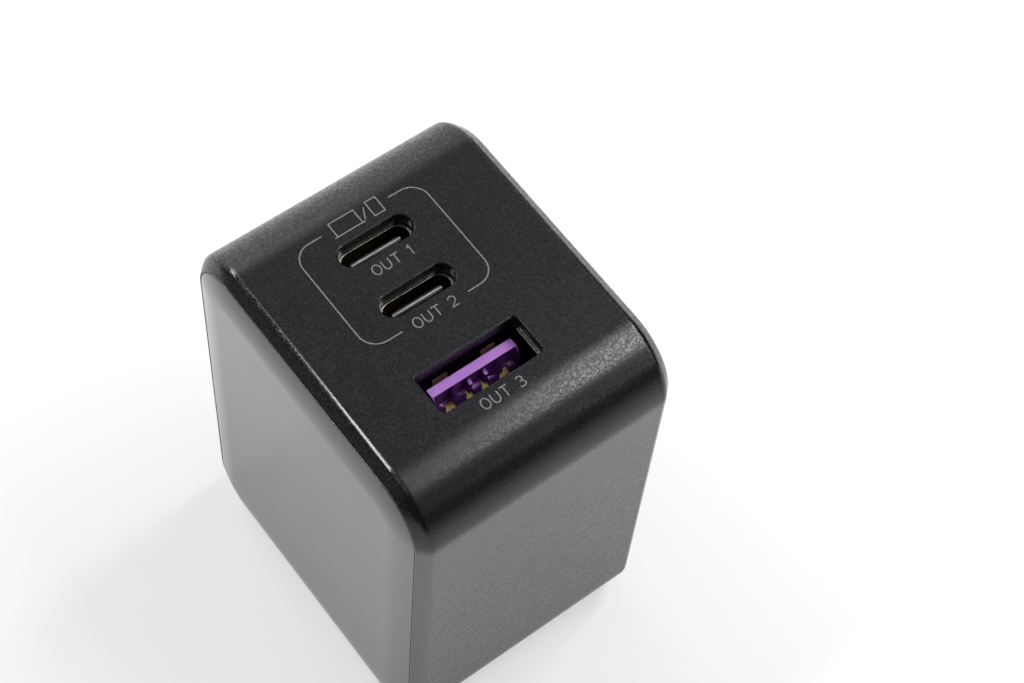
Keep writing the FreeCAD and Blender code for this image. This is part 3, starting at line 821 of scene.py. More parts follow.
@dataclass(frozen=True)
class FloorFinish(TonedFinish):
    """Pale floor with painted shade that darkens it towards the front, standing in for the light falling off
    there; it looks white to the eye and is clear from below.
    """

    name: str = "pale_floor"
    roughness: float = 0.55
    low: Colour = (0.91, 0.91, 0.912)
    high: Colour = (0.925, 0.925, 0.927)
    drift: float = 90.0 * MM
    specular: float = 0.2
    # Painted shade: the grey that the floor turns to towards the front.
    front: Colour = (0.42, 0.42, 0.422)
    painted_shade_turn: Range = (-0.3, -0.06)
    white_share: float = 0.52

    def paint(self, surface: Surface) -> None:
        """Feeds the material's shader, and mixes white and a clear underside into it.

        Args:
            surface: Material under construction.
        """
        tones = self.tones(surface)
        # Painted shade: the floor darkens, and its white thins, towards the front.
        front = surface.spread(surface.axis(Axis.Y), self.painted_shade_turn, FALLING, smooth=True)
        surface.set(
            Base_Color=surface.mix(front, tones["Colour"], self.front),
            Roughness=self.drifting_gloss(surface, tones),
            Specular_IOR_Level=self.specular,
        )
        rays = surface.add("LightPath", {}).outputs
        seen = surface.math("MAXIMUM", rays["Is Camera Ray"], rays["Is Glossy Ray"])
        seen = surface.math("MAXIMUM", seen, rays["Is Transmission Ray"])
        share = surface.math("MULTIPLY", seen, surface.spread(front, RISING, (self.white_share, 0.0)))
        white = surface.add("Emission", {"Color": WHITE, "Strength": 1.0})
        mixed = surface.add("MixShader", {0: share, 1: surface.shader.outputs[0], 2: white.outputs[0]})
        under = surface.add("NewGeometry", {}).outputs["Backfacing"]
        clear = surface.add("BsdfTransparent", {})
        shown = surface.add("MixShader", {0: under, 1: mixed.outputs[0], 2: clear.outputs[0]})
        surface.feed(surface.output.inputs["Surface"], shown.outputs[0])


CASE_FINISH = WrapFinish(
    "textured_wrap",
    low=(0.003, 0.0037, 0.0046),
    high=(0.0044, 0.0051, 0.006),
    roughness=0.27,
    grain=0.09 * MM,
    depth=0.008 * MM,
    gloss_swing=0.13,
    ior=1.48,
    coat=0.42,
    coat_heights=(8.0 * MM, 48.0 * MM),
    coat_roughness=0.28,
)
LID_FINISH = MouldedFinish(
    "smooth_lid",
    low=(0.0195, 0.0203, 0.0218),
    high=(0.0225, 0.0233, 0.025),
    roughness=0.24,
    grain=0.4 * MM,
    depth=0.0004 * MM,
    gloss_swing=0.015,
    drift=11.0 * MM,
    ior=1.54,
    coat=0.66,
    coat_low=0.22,
    coat_roughness=0.2,
    dust=0.02,
)
PLUG_FINISH = MouldedFinish(
    "plug_moulding", low=(0.02, 0.021, 0.022), high=(0.026, 0.027, 0.029), roughness=0.44, depth=0.008 * MM
)
INSULATOR_FINISH = MouldedFinish(
    "socket_moulding", low=(0.018, 0.019, 0.02), high=(0.03, 0.032, 0.033), roughness=0.3, drift=1.5 * MM
)
VIOLET_FINISH = WallShadedTongueFinish(
    "violet_moulding", low=(0.4, 0.165, 0.57), high=(0.46, 0.2, 0.63), roughness=0.38, drift=2.0 * MM
)
BOBBIN_FINISH = MouldedFinish(
    "bobbin_moulding", low=(0.028, 0.028, 0.029), high=(0.04, 0.04, 0.042), roughness=0.42
)
EPOXY_FINISH = MouldedFinish(
    "chip_package", low=(0.024, 0.024, 0.025), high=(0.036, 0.036, 0.036), roughness=0.55, grain=0.08 * MM
)
COUPLER_FINISH = MouldedFinish(
    "coupler_package", low=(0.66, 0.66, 0.62), high=(0.76, 0.76, 0.73), roughness=0.5, grain=0.08 * MM
)
FILM_FINISH = MouldedFinish(
    "cast_film_case", low=(0.66, 0.45, 0.04), high=(0.78, 0.58, 0.08), roughness=0.28, grain=0.3 * MM
)
FUSE_FINISH = MouldedFinish(
    "fuse_moulding", low=(0.085, 0.042, 0.025), high=(0.12, 0.06, 0.036), roughness=0.42
)
SAFETY_FINISH = MouldedFinish(
    "safety_moulding", low=(0.04, 0.3, 0.54), high=(0.06, 0.37, 0.64), roughness=0.24, grain=0.4 * MM
)
VARISTOR_FINISH = MouldedFinish(
    "dipped_varistor", low=(0.03, 0.2, 0.46), high=(0.05, 0.27, 0.57), roughness=0.22, grain=0.4 * MM
)
PAD_FINISH = MouldedFinish(
    "soft_thermal_pad", low=(0.48, 0.26, 0.31), high=(0.58, 0.33, 0.38), roughness=0.75, grain=0.2 * MM
)
POWDER_FINISH = MouldedFinish(
    "pressed_powder", low=(0.12, 0.12, 0.128), high=(0.19, 0.19, 0.2), roughness=0.6, drift=0.4 * MM
)
# Painted shade: a near-black strip put in the lid's seam, where there is only shadow.
SEAM_SHADOW_FINISH = MouldedFinish(
    "seam_shadow_strip", low=(0.004, 0.004, 0.0045), high=(0.007, 0.007, 0.0075), roughness=0.6, grain=0.05 * MM
)
FERRITE_FINISH = MouldedFinish(
    "sintered_ferrite", low=(0.045, 0.045, 0.05), high=(0.075, 0.075, 0.08), roughness=0.62, grain=0.09 * MM
)
BLADE_FINISH = MetalFinish(
    "plated_blade", low=(0.66, 0.64, 0.6), high=(0.76, 0.74, 0.7), roughness=0.22, stretch=(1.0, 0.04, 1.0)
)
CONTACT_FINISH = MetalFinish(
    "plated_contact", low=(0.8, 0.58, 0.2), high=(0.9, 0.7, 0.3), roughness=0.3, gloss_swing=0.03,
    depth=0.0001 * MM, metallic=0.35,
)
LEAF_FINISH = MetalFinish(
    "spring_leaf", low=(0.09, 0.05, 0.045), high=(0.22, 0.13, 0.11), roughness=0.45, depth=0.0001 * MM,
    drift=0.9 * MM, metallic=0.3,
)
PLATE_FINISH = MetalFinish(
    "tongue_plate", low=(0.3, 0.315, 0.32), high=(0.4, 0.415, 0.42), roughness=0.32, depth=0.0001 * MM,
    drift=1.2 * MM, metallic=0.4,
)
SHELL_FINISH = MetalFinish(
    "drawn_shell", low=(0.17, 0.167, 0.16), high=(0.22, 0.217, 0.21), roughness=0.2, gloss_swing=0.02,
    depth=0.0001 * MM,
)
SCREW_FINISH = MetalFinish("turned_steel", low=(0.48, 0.48, 0.48), high=(0.6, 0.6, 0.6), roughness=0.36)
SPREADER_FINISH = MetalFinish(
    "spreader_sheet", low=(0.7, 0.7, 0.71), high=(0.8, 0.8, 0.81), roughness=0.4, stretch=(1.0, 0.05, 1.0)
)
BOARD_FINISH = BoardFinish()
TAPE_FINISH = TapeFinish()
INK_FINISH = InkFinish()
FLOOR_FINISH = FloorFinish()


def dress(node: str, finish: Finish) -> bpy.types.Object:
    """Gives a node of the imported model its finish.

    Args:
        node: Name of the node.
        finish: Finish to use.

    Returns:
        The node's object.
    """
    piece = frame["nodes"][node]
    for slot in piece.material_slots:
        slot.material = material_of(finish)
    return piece


def box_of(node: str) -> tuple[Vector, Vector, Vector]:
    """Gives the low corner, the middle and the high corner of a node's box."""
    low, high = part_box(node)
    return low, (low + high) / 2, high


@dataclass(frozen=True)
class EdgeRound:
    """Rounding of the edges that a test picks."""

    width: float
    picks: EdgeTest
    steps: int = 3


def middle_of(edge: bmesh.types.BMEdge) -> Vector:
    """Gives the middle of an edge."""
    return (edge.verts[0].co + edge.verts[1].co) / 2


def is_sharp(edge: bmesh.types.BMEdge) -> bool:
    """Tells whether an edge stands out sharply between two faces."""
    return edge.is_manifold and edge.is_convex and edge.calc_face_angle() > SHARP_ANGLE


def edges_at(axis: Axis, places: Sequence[float], reach: float) -> EdgeTest:
    """Makes a test that picks edges whose middle lies within reach of some places along an axis."""
    return lambda edge: any(abs(middle_of(edge)[axis] - place) < reach for place in places)


def add_piece(name: str, mesh: bpy.types.Mesh, finish: Finish, body: Body) -> bpy.types.Object:
    """Adds a new piece that rides on a body.

    Args:
        name: Name of the piece.
        mesh: Its mesh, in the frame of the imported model.
        finish: Its finish.
        body: Body that it rides on.

    Returns:
        The new piece.
    """
    piece = bpy.data.objects.new(name, mesh)
    bpy.context.scene.collection.objects.link(piece)
    mesh.materials.append(material_of(finish))
    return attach(piece, body.value)


def mesh_from(name: str, work: bmesh.types.BMesh) -> bpy.types.Mesh:
    """Turns working geometry, which is freed, into a mesh.

    Args:
        name: Name of the mesh.
        work: Working geometry.

    Returns:
        The mesh.
    """
    mesh = bpy.data.meshes.new(name)
    work.to_mesh(mesh)
    work.free()
    return mesh


def softened(node: str, piece: str, finish: Finish, *rounds: EdgeRound) -> bpy.types.Object:
    """Makes a copy of a node with some edges rounded, which stands for the node.

    Args:
        node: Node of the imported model.
        piece: Name of the new piece.
        finish: Finish of the new piece.
        rounds: Roundings, made one after the other.

    Returns:
        The new piece.
    """
    source = frame["nodes"][node]
    work = bmesh.new()
    work.from_mesh(source.data)
    bmesh.ops.remove_doubles(work, verts=work.verts, dist=SAME_PLACE)
    bmesh.ops.dissolve_limit(work, angle_limit=FLAT_ANGLE, verts=work.verts, edges=work.edges)
    for rounding in rounds:
        bmesh.ops.bevel(
            work,
            geom=[edge for edge in work.edges if is_sharp(edge) and rounding.picks(edge)],
            offset=rounding.width,
            offset_type="OFFSET",
            segments=rounding.steps,
            profile=ROUND_PROFILE,
            affect="EDGES",
            clamp_overlap=True,
        )
    mesh = mesh_from(piece, work)
    mesh.shade_smooth()
    mesh.set_sharp_from_angle(angle=SHARP_ANGLE)
    made = add_piece(piece, mesh, finish, Body(source["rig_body"]))
    evened = made.modifiers.new("Even shading", "WEIGHTED_NORMAL")
    evened.keep_sharp = True
    dress(node, finish)
    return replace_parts(made, node)


def arc(centre: Point, radii: Point, start: float, end: float, steps: int = 12) -> list[Point]:
    """Gives points along part of an ellipse.

    Args:
        centre: Middle of the ellipse.
        radii: Its half width and half height.
        start: First angle in degrees.
        end: Last angle in degrees.
        steps: Number of steps between them.

    Returns:
        The points.
    """
    angles = [math.radians(start + (end - start) * step / steps) for step in range(steps + 1)]
    return [(centre[0] + radii[0] * math.cos(a), centre[1] + radii[1] * math.sin(a)) for a in angles]


@dataclass(frozen=True)
class Skin:
    """Rings of corners joined into one closed skin: looped on itself, or else capped at both ends."""

    rings: Sequence[Sequence[Vector]]
    looped: bool = False

    def add_to(self, work: bmesh.types.BMesh) -> None:
        """Adds the skin's faces to working geometry.

        Args:
            work: Geometry to add to.
        """
        made = [[work.verts.new(corner) for corner in ring] for ring in self.rings]
        following = made[1:] + made[:1] if self.looped else made[1:]
        for ring, other in zip(made, following):
            for index in range(len(ring)):
                step = (index + 1) % len(ring)
                work.faces.new((ring[index], ring[step], other[step], other[index]))
        if not self.looped:
            work.faces.new(made[0][::-1])
            work.faces.new(made[-1])


def case_piece(name: str, skins: Iterable[Skin], finish: Finish) -> bpy.types.Object:
    """Builds a new piece on the case from skins whose faces all look outwards.

    Args:
        name: Name of the piece.
        skins: Skins that it is made of.
        finish: Its finish.

    Returns:
        The new piece.
    """
    work = bmesh.new()
    for skin in skins:
        skin.add_to(work)
    bmesh.ops.recalc_face_normals(work, faces=work.faces)
    return add_piece(name, mesh_from(name, work), finish, Body.CASE)


@dataclass
class Case:
    """Textured wrap with its closed side, and the smooth lid in its open side."""

    rim: float = 1.2 * MM
    rim_round: float = 0.42 * MM
    rim_steps: int = 4
    mouth_round: float = 0.14 * MM
    edge_round: float = 0.05 * MM
    lid_round: float = 0.06 * MM
    near: float = 0.1 * MM
    top_radius: float = 7.5 * MM
    base_radius: float = 6.5 * MM
    seam: Range = (1.352 * MM, 1.448 * MM)
    shadow_strip_depth: Range = (0.12 * MM, 0.4 * MM)
    wrap: Box = field(default_factory=lambda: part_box("housing_shell"))

    def outline(self, inset: float) -> list[Point]:
        """Gives the case's outline, seen along X, drawn in by an inset.

        Args:
            inset: How far inside the case's outer faces it runs.

        Returns:
            Points as Y and Z.
        """
        high = cad_box[1]
        top_y, top_z = high.y - self.top_radius, high.z - self.top_radius
        base_y = high.y - self.base_radius
        top = (self.top_radius - inset, self.top_radius - inset)
        base = (self.base_radius - inset, self.base_radius - inset)
        points = arc((top_y, top_z), top, 0, 90) + arc((-top_y, top_z), top, 90, 180)
        points += arc((-base_y, self.base_radius), base, 180, 270)
        return points + arc((base_y, self.base_radius), base, 270, 360)

    def seam_shadow_strip(self) -> bpy.types.Object:
        """Fills the seam round the lid with a thin dark strip, sunk below both faces, that is painted shade
        standing in for the shadow in the seam.

        Returns:
            The new piece.
        """
        front, back = (self.wrap[0].x + depth for depth in self.shadow_strip_depth)
        rings = []
        for outer, inner in zip(*(self.outline(inset) for inset in self.seam)):
            corners = ((front, outer), (front, inner), (back, inner), (back, outer))
            rings.append([Vector((x, y, z)) for x, (y, z) in corners])
        # The strip is painted shade, a dark piece standing in for the seam's shadow.
        shadow_strip = case_piece("lid_seam_shadow_strip", [Skin(rings, looped=True)], SEAM_SHADOW_FINISH)
        return shadow_strip

    def build(self) -> list[bpy.types.Object]:
        """Builds and dresses the wrap, the lid and the strip of painted shade in its seam.

        Returns:
            The pieces.
        """
        low, high = self.wrap
        rims = edges_at(Axis.X, (low.x + self.rim, high.x - self.rim), self.near)
        mouths = edges_at(Axis.Z, (low.z, high.z), self.near)
        sides = edges_at(Axis.X, (low.x, high.x), self.near)
        wrap_rounds = (
            EdgeRound(self.rim_round, rims, self.rim_steps),
            EdgeRound(self.mouth_round, mouths),
            EdgeRound(self.edge_round, sides),
        )
        lid_round = EdgeRound(self.lid_round, edges_at(Axis.X, (low.x,), self.near))
        return [
            self.seam_shadow_strip(),
            softened("housing_shell", "case_wrap", CASE_FINISH, *wrap_rounds),
            softened("side_lid", "lid_panel", LID_FINISH, lid_round),
        ]


class Glyph(Enum):
    """Plain capital or number, drawn as strokes in a cell one unit high."""

    O = "O"
    U = "U"
    T = "T"
    ONE = "1"
    TWO = "2"
    THREE = "3"

    def strokes(self) -> list[list[Point]]:
        """Gives the strokes of the sign.

        Returns:
            Each stroke's points.
        """
        if self is Glyph.O:
            return [arc((0.38, 0.5), (0.38, 0.5), 90, 450, steps=28)]
        if self is Glyph.U:
            return [[(0.0, 1.0)] + arc((0.34, 0.34), (0.34, 0.34), 180, 360) + [(0.68, 1.0)]]
        if self is Glyph.T:
            return [[(0.0, 1.0), (0.72, 1.0)], [(0.36, 0.96), (0.36, 0.0)]]
        if self is Glyph.ONE:
            return [[(0.0, 0.8), (0.24, 1.0), (0.24, 0.0)]]
        if self is Glyph.TWO:
            return [arc((0.32, 0.69), (0.32, 0.31), 165, -38) + [(0.0, 0.0), (0.66, 0.0)]]
        upper = arc((0.3, 0.76), (0.27, 0.24), 150, -80)
        return [upper, arc((0.3, 0.26), (0.32, 0.26), 100, -150)]

    def width(self) -> float:
        """Gives the width of the sign in units of its height."""
        return max(x for stroke in self.strokes() for x, _ in stroke)


@dataclass
class TopPrint:
    """Grey print on top of the case: a frame round the slim sockets, two device signs and labels."""

    line: float = 0.15 * MM
    rise: float = 0.012 * MM
    sink: float = 0.02 * MM
    layer: float = 0.0005 * MM
    mitre_limit: float = 0.5
    frame_low: Point = (-8.7 * MM, -1.35 * MM)
    frame_high: Point = (7.55 * MM, 13.0 * MM)
    frame_radius: float = 2.2 * MM
    sign_gap: Range = (-4.85 * MM, 3.72 * MM)
    label_gap: Range = (-4.65 * MM, 3.73 * MM)
    screen_low: Point = (-3.45 * MM, 11.95 * MM)
    screen_high: Point = (-0.25 * MM, 13.85 * MM)
    keys_overhang: float = 0.35 * MM
    handset_low: Point = (1.31 * MM, 11.9 * MM)
    handset_high: Point = (2.63 * MM, 13.93 * MM)
    slash_low: Point = (0.2 * MM, 12.1 * MM)
    slash_high: Point = (0.85 * MM, 13.5 * MM)
    cap_height: float = 1.25 * MM
    letter_gap: float = 0.3
    space: float = 0.3
    label_x: float = -0.5 * MM
    label_places: Sequence[float] = (5.65 * MM, -2.0 * MM, -13.7 * MM)

    def ribbon(self, points: Sequence[Point], rise: float) -> Skin:
        """Makes a flat line of ink along some points; a line that ends where it starts is looped.

        Args:
            points: Points on top of the case.
            rise: How far the ink stands up.

        Returns:
            The line's skin.
        """
        top = cad_box[1].z
        path = [Vector(point) for point in points]
        looped = (path[0] - path[-1]).length < SAME_PLACE
        if looped:
            path.pop()
        count = len(path)
        rings = []
        for index, point in enumerate(path):
            before = path[index - 1] if looped or index else point
            after = path[(index + 1) % count] if looped or index < count - 1 else point
            arriving = (point - before).normalized() if point != before else (after - point).normalized()
            leaving = (after - point).normalized() if point != after else arriving
            along = (arriving + leaving).normalized()
            reach = self.line / 2 / max(self.mitre_limit, along.dot(leaving))
            side = Vector((-along.y, along.x)) * reach
            corners = [(point + side, rise), (point - side, rise)]
            corners += [(point - side, -self.sink), (point + side, -self.sink)]
            rings.append([Vector((place.x, place.y, top + height)) for place, height in corners])
        return Skin(rings, looped)

    def printed(self, name: str, lines: Iterable[Sequence[Point]]) -> bpy.types.Object:
        """Makes one printed mark out of lines of ink, each a thin layer above the last."""
        skins = [self.ribbon(points, self.rise + number * self.layer) for number, points in enumerate(lines)]
        return case_piece(name, skins, INK_FINISH)

    def frame_lines(self) -> list[list[Point]]:
        """Gives the two halves of the frame, with gaps for the signs and a label.

        Returns:
            Each half's points.
        """
        (x0, y0), (x1, y1) = self.frame_low, self.frame_high
        radius = self.frame_radius
        radii = (radius, radius)
        left = [(self.sign_gap[0], y1)]
        left += arc((x0 + radius, y1 - radius), radii, 90, 180)
        left += arc((x0 + radius, y0 + radius), radii, 180, 270)
        left += [(self.label_gap[0], y0)]
        right = [(self.sign_gap[1], y1)]
        right += arc((x1 - radius, y1 - radius), radii, 90, 0)
        right += arc((x1 - radius, y0 + radius), radii, 0, -90)
        right += [(self.label_gap[1], y0)]
        return [left, right]

    def sign_lines(self) -> list[list[Point]]:
        """Gives the lines of the two device signs and the slash between them.

        Returns:
            Each line's points.
        """
        (x0, y0), (x1, y1) = self.screen_low, self.screen_high
        screen = [(x0, y0), (x0, y1), (x1, y1), (x1, y0)]
        keys = [(x0 - self.keys_overhang, y0), (x1 + self.keys_overhang, y0)]
        (x0, y0), (x1, y1) = self.handset_low, self.handset_high
        handset = [(x0, y0), (x1, y0), (x1, y1), (x0, y1), (x0, y0)]
        return [screen, keys, handset, [self.slash_low, self.slash_high]]

    def label_lines(self, signs: Sequence[Glyph | None], y: float) -> list[list[Point]]:
        """Gives the lines of one label.

        Args:
            signs: Signs to set side by side; None is a space.
            y: Foot of the label.

        Returns:
            Each line's points.
        """
        widths = [sign.width() if sign else self.space for sign in signs]
        length = (sum(widths) + self.letter_gap * (len(signs) - 1)) * self.cap_height
        x = self.label_x - length / 2
        lines = []
        for sign, width in zip(signs, widths):
            for stroke in sign.strokes() if sign else []:
                lines.append([(x + u * self.cap_height, y + v * self.cap_height) for u, v in stroke])
            x += (width + self.letter_gap) * self.cap_height
        return lines

    def build(self) -> list[bpy.types.Object]:
        """Builds all the printed marks.

        Returns:
            The new pieces.
        """
        pieces = [
            self.printed("print_socket_frame", self.frame_lines()),
            self.printed("print_device_signs", self.sign_lines()),
        ]
        word = [Glyph.O, Glyph.U, Glyph.T, None]
        for number, y in zip((Glyph.ONE, Glyph.TWO, Glyph.THREE), self.label_places):
            pieces.append(self.printed(f"print_label_{number.value}", self.label_lines(word + [number], y)))
        return pieces


@dataclass
class SlimPort:
    """Slim socket: a drawn shell round a thin tongue with contact strips."""

    number: int
    opening: Point = (8.34 * MM, 2.56 * MM)
    sheet: float = 0.3 * MM
    rim_round: float = 0.07 * MM
    tongue_round: float = 0.1 * MM
    near: float = 0.05 * MM
    plate: Point = (6.34 * MM, 0.32 * MM)
    plate_nose: float = 0.06 * MM
    plate_depth: float = 1.2 * MM

    def node(self, part: str) -> str:
        """Gives the name of one of the socket's nodes."""
        return f"slim_port_{self.number}_{part}"

    def at_mouth(self, edge: bmesh.types.BMEdge) -> bool:
        """Tells whether an edge lies on the inner rim of the shell's mouth, which has round ends.

        Args:
            edge: Edge of the shell.

        Returns:
            Whether it does.
        """
        _, middle, high = box_of(self.node("shell"))
        place = middle_of(edge)
        corner = self.opening[1] / 2
        offsets = zip((place - middle).xy, self.opening)
        spans = [max(abs(off) - side / 2 + corner, 0.0) for off, side in offsets]
        return place.z > high.z - self.near and math.hypot(*spans) < corner + self.sheet / 2

    def mid_plate(self) -> bpy.types.Object:
        """Sets in the plate that stiffens the tongue, whose round nose shows at the tip.

        Returns:
            The new piece.
        """
        _, middle, high = box_of(self.node("insulator"))
        length, thickness = self.plate
        half = thickness / 2
        foot = high.z - self.plate_depth
        outline = arc((middle.y, high.z + self.plate_nose - half), (half, half), 0, 180)
        outline += [(middle.y - half, foot), (middle.y + half, foot)]
        ends = (middle.x - length / 2, middle.x + length / 2)
        skin = Skin([[Vector((x, y, z)) for y, z in outline] for x in ends])
        plate = case_piece(self.node("tongue_plate"), [skin], PLATE_FINISH)
        return plate

    def build(self) -> list[bpy.types.Object]:
        """Builds and dresses the socket.

        Returns:
            Its pieces.
        """
        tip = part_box(self.node("insulator"))[1].z
        rim = EdgeRound(self.rim_round, self.at_mouth)
        end = EdgeRound(self.tongue_round, edges_at(Axis.Z, (tip,), self.near))
        return [
            self.mid_plate(),
            softened(self.node("shell"), self.node("drawn_shell"), SHELL_FINISH, rim),
            softened(self.node("insulator"), self.node("tongue"), INSULATOR_FINISH, end),
            dress(self.node("contacts"), CONTACT_FINISH),
        ]


@dataclass
class WidePort:
    """Wide socket: a folded shell round a thick violet tongue with four contact leaves."""

    width: float = 5.12 * MM
    tongue_round: float = 0.05 * MM
    near: float = 0.05 * MM
    leaf_spacing: float = 6.2 * MM
    leaf_width: float = 1.9 * MM
    leaf_top: float = 1.5 * MM
    leaf_drop: float = 2.0 * MM
    leaf_rise: float = 0.45 * MM
    leaf_skin: float = 0.03 * MM

    def leaves(self) -> bpy.types.Object:
        """Lays a dark brownish metal skin on the shell's two spring leaves behind the tongue.

        Returns:
            The new piece.
        """
        _, middle, high = box_of("wide_port_shell")
        wall = middle.y + self.width / 2
        top = high.z - self.leaf_top
        outline = [(wall, top), (wall - self.leaf_rise, top - self.leaf_drop)]
        outline += [(y - self.leaf_skin, z) for y, z in outline[::-1]]
        skins = []
        for side in (-1, 1):
            x = middle.x + side * self.leaf_spacing / 2
            ends = (x - self.leaf_width / 2, x + self.leaf_width / 2)
            skins.append(Skin([[Vector((end, y, z)) for y, z in outline] for end in ends]))
        return case_piece("wide_port_leaves", skins, LEAF_FINISH)

    def build(self) -> list[bpy.types.Object]:
        """Builds and dresses the socket.

        Returns:
            Its pieces.
        """
        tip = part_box("wide_port_insulator")[1].z
        end = EdgeRound(self.tongue_round, edges_at(Axis.Z, (tip,), self.near))
        return [
            self.leaves(),
            dress("wide_port_shell", SHELL_FINISH),
            softened("wide_port_insulator", "wide_port_tongue", VIOLET_FINISH, end),
            dress("wide_port_contacts", CONTACT_FINISH),
        ]


@dataclass
class FoldingPlug:
    """Folding mains plug: two blades on a turning carrier, in a cradle let into the base."""

    blade_round: float = 0.12 * MM
    moulded_round: float = 0.12 * MM
    base: float = 0.0
    near: float = 0.05 * MM

    def build(self) -> list[bpy.types.Object]:
        """Builds and dresses the plug and what holds it.

        Returns:
            Its pieces.
        """
        everywhere = EdgeRound(self.blade_round, lambda edge: True)
        base = EdgeRound(self.moulded_round, edges_at(Axis.Z, (self.base,), self.near))
        return [
            *(softened(f"blade_{n}", f"plug_blade_{n}", BLADE_FINISH, everywhere) for n in (1, 2)),
            softened("plug_cradle", "plug_bay", PLUG_FINISH, base),
            softened("blade_carrier", "plug_carrier", PLUG_FINISH, everywhere),
            dress("plug_retainer", PLUG_FINISH),
            dress("retainer_screws", SCREW_FINISH),
            *(dress(f"mains_contact_{n}", CONTACT_FINISH) for n in (1, 2)),
        ]


@dataclass
class Electronics:
    """Boards and parts sealed in the case."""

    cans: Sequence[str] = ("bulk_capacitor_1", "bulk_capacitor_2", "bulk_capacitor_3", "output_capacitor")
    parts: Sequence[tuple[Finish, Sequence[str]]] = (
        (BOARD_FINISH, ("input_board", "main_board", "port_board")),
        (FERRITE_FINISH, ("transformer_core_lower", "transformer_core_upper", "choke_core")),
        (BOBBIN_FINISH, ("transformer_bobbin",)),
        (TAPE_FINISH, ("transformer_winding",)),
        (COUPLER_FINISH, ("optocoupler",)),
        (EPOXY_FINISH, ("switch_chip", "rectifier_chip", "bridge_rectifier")),
        (EPOXY_FINISH, ("port_controller_1", "port_controller_2")),
        (PAD_FINISH, ("thermal_pad",)),
        (SPREADER_FINISH, ("heat_spreader",)),
        (FILM_FINISH, ("filter_capacitor",)),
        (FUSE_FINISH, ("fuse",)),
        (VARISTOR_FINISH, ("varistor",)),
        (SAFETY_FINISH, ("safety_capacitor",)),
        (POWDER_FINISH, ("output_inductor_1", "output_inductor_2")),
    )

    def build(self) -> list[bpy.types.Object]:
        """Dresses every inner part.

        Returns:
            Their objects.
        """
        pieces = [dress(node, finish) for finish, nodes in self.parts for node in nodes]
        _, middle, _ = box_of("choke_core")
        pieces.append(dress("choke_windings", WireFinish(centre=(middle.y, middle.z))))
        for node in self.cans:
            low, middle, _ = box_of(node)
            sleeve = CanFinish(f"{node}_sleeve", centre=(middle.y, middle.z), lid_x=low.x)
            pieces.append(dress(node, sleeve))
        return pieces


@dataclass(frozen=True)
class SoftBox:
    """Flat soft lamp that faces straight down."""

    name: str
    place: Place
    size: Point
    power: float

    def build(self) -> bpy.types.Object:
        """Adds the lamp.

        Returns:
            Its object.
        """
        light = bpy.data.lights.new(self.name, "AREA")
        light.shape = "RECTANGLE"
        light.size, light.size_y = self.size
        light.energy = self.power
        lamp = bpy.data.objects.new(self.name, light)
        lamp.location = self.place
        lamp.visible_camera = False
        bpy.context.scene.collection.objects.link(lamp)
        return lamp


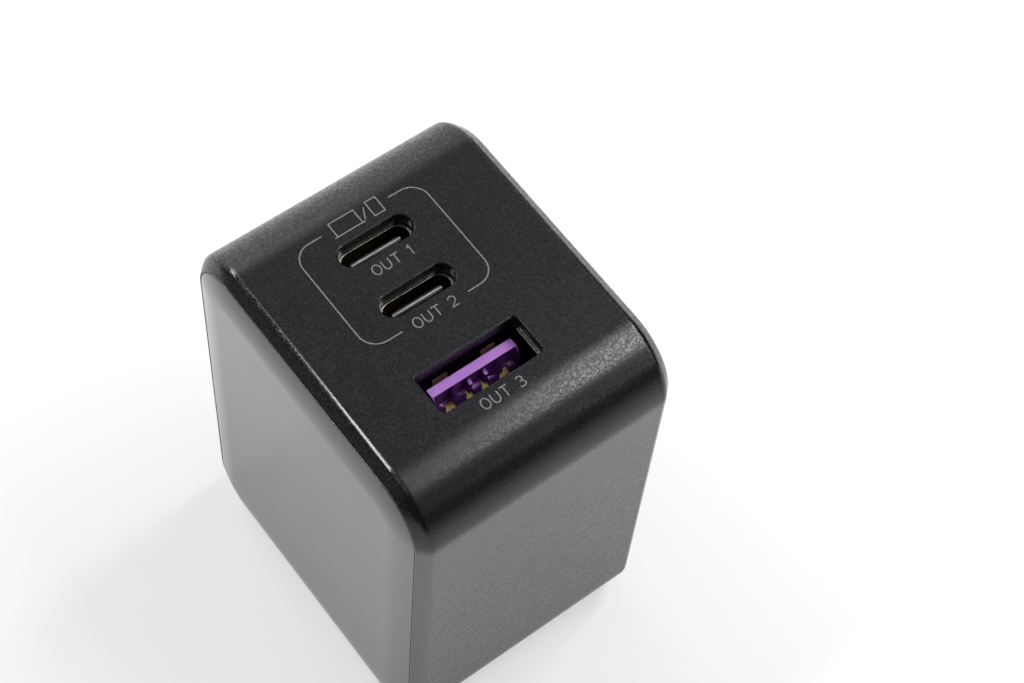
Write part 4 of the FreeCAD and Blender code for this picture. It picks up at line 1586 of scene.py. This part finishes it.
@dataclass
class Studio:
    """Plain pale floor, a dim room, soft lamps overhead and the camera."""

    floor_half: float = 3.0
    hole_low: Point = (-14.4 * MM, -14.0 * MM)
    hole_high: Point = (15.1 * MM, 14.0 * MM)
    lamps: Sequence[SoftBox] = (
        SoftBox("key_box", place=(0.5, -0.205, 0.75), size=(0.46, 0.47), power=5.1),
        SoftBox("key_top", place=(0.57, 0.08, 0.75), size=(0.4, 0.1), power=2.2),
        SoftBox("key_shin", place=(0.72, -0.62, 0.75), size=(0.5, 0.36), power=1.05),
        SoftBox("key_foot", place=(0.95, -1.15, 0.75), size=(0.9, 0.9), power=2.9),
        SoftBox("rear_box", place=(-0.3, 1.1, 1.0), size=(1.0, 0.5), power=13.5),
        SoftBox("fill_box", place=(-0.4, -0.12, 0.8), size=(0.56, 0.6), power=0.5),
        SoftBox("edge_strip", place=(-0.36, 0.3, 0.75), size=(0.42, 0.05), power=1.42),
    )
    room_dark: float = 0.071
    room_pale: float = 1.05
    room_turn: Range = (0.46, 0.9)
    room_side: Place = (0.3, 0.954, 0.0)
    glow_side: Place = (-0.864, 0.37, 0.341)
    glow_turn: Range = (0.7, 0.97)
    glow_level: float = 0.24
    below_turn: Range = (-0.3, -0.05)
    below_level: float = 0.75
    camera_place: Place = (-74.833 * MM, -94.264 * MM, 255.553 * MM)
    camera_azimuth: float = -42.652
    camera_elevation: float = 59.793
    camera_roll: float = 6.394
    camera_clip: Range = (1.0 * MM, 20.0)
    lens: float = 78.679
    sensor: float = 36.0

    def floor(self) -> bpy.types.Object:
        """Lays the floor, open under the case so that the base can be looked at.

        Returns:
            The floor.
        """
        half = self.floor_half
        corners = []
        for (x0, y0), (x1, y1) in (((-half, -half), (half, half)), (self.hole_low, self.hole_high)):
            corners += [(x0, y0, 0.0), (x1, y0, 0.0), (x1, y1, 0.0), (x0, y1, 0.0)]
        mesh = bpy.data.meshes.new("floor")
        mesh.from_pydata(corners, [], [(0, 1, 5, 4), (1, 2, 6, 5), (2, 3, 7, 6), (3, 0, 4, 7)])
        mesh.materials.append(material_of(FLOOR_FINISH))
        floor = bpy.data.objects.new("floor", mesh)
        bpy.context.scene.collection.objects.link(floor)
        return floor

    def room(self) -> bpy.types.World:
        """Surrounds the case with a dim room: a pale wall behind it, a faint one on its left, pale below.

        Returns:
            The world.
        """
        world = bpy.data.worlds.new("studio_room")
        world.use_nodes = True
        graph = Graph(world.node_tree)
        graph.tree.nodes.clear()
        way = graph.add("TexCoord", {}).outputs["Generated"]
        walls = (
            (self.room_side, self.room_turn, (self.room_dark, self.room_pale)),
            (self.glow_side, self.glow_turn, (0.0, self.glow_level)),
        )
        up = graph.add("SeparateXYZ", {0: way}).outputs[Axis.Z]
        level = graph.spread(up, self.below_turn, (self.below_level, 0.0))
        for side, turn, levels in walls:
            facing = graph.add("VectorMath", {0: way, 1: side}, operation="DOT_PRODUCT").outputs["Value"]
            level = graph.math("MAXIMUM", level, graph.spread(facing, turn, levels, smooth=True))
        background = graph.add("Background", {"Color": WHITE, "Strength": level})
        graph.add("OutputWorld", {"Surface": background.outputs[0]})
        bpy.context.scene.world = world
        return world

    def camera(self) -> bpy.types.Object:
        """Sets up the camera at the photograph's place.

        Returns:
            The camera.
        """
        azimuth = math.radians(self.camera_azimuth)
        elevation = math.radians(self.camera_elevation)
        back = Vector((
            math.sin(azimuth) * math.cos(elevation),
            -math.cos(azimuth) * math.cos(elevation),
            math.sin(elevation),
        ))
        right = Vector((0.0, 0.0, 1.0)).cross(back).normalized()
        turn = Matrix.Rotation(math.radians(self.camera_roll), 3, -back)
        right = turn.inverted() @ right
        up = back.cross(right)
        view = Matrix((right, up, back)).transposed().to_4x4()
        view.translation = Vector(self.camera_place)
        data = bpy.data.cameras.new("camera")
        data.lens = self.lens
        data.sensor_width = self.sensor
        data.sensor_fit = "HORIZONTAL"
        data.clip_start, data.clip_end = self.camera_clip
        camera = bpy.data.objects.new("camera", data)
        camera.matrix_world = view
        bpy.context.scene.collection.objects.link(camera)
        bpy.context.scene.camera = camera
        return camera

    def build(self) -> None:
        """Builds the whole studio."""
        bpy.context.scene.view_settings.view_transform = "Standard"
        self.floor()
        self.room()
        self.camera()
        for lamp in self.lamps:
            lamp.build()


def main() -> None:
    """Builds the studio and every sub-assembly in order."""
    logging.basicConfig(level=logging.INFO, format="%(name)s: %(message)s")
    Studio().build()
    assemblies = (Case(), TopPrint(), SlimPort(1), SlimPort(2), WidePort(), FoldingPlug(), Electronics())
    for assembly in assemblies:
        for piece in assembly.build():
            log.info("%s: %s", type(assembly).__name__, piece.name)


if __name__ == "__main__":
    main()
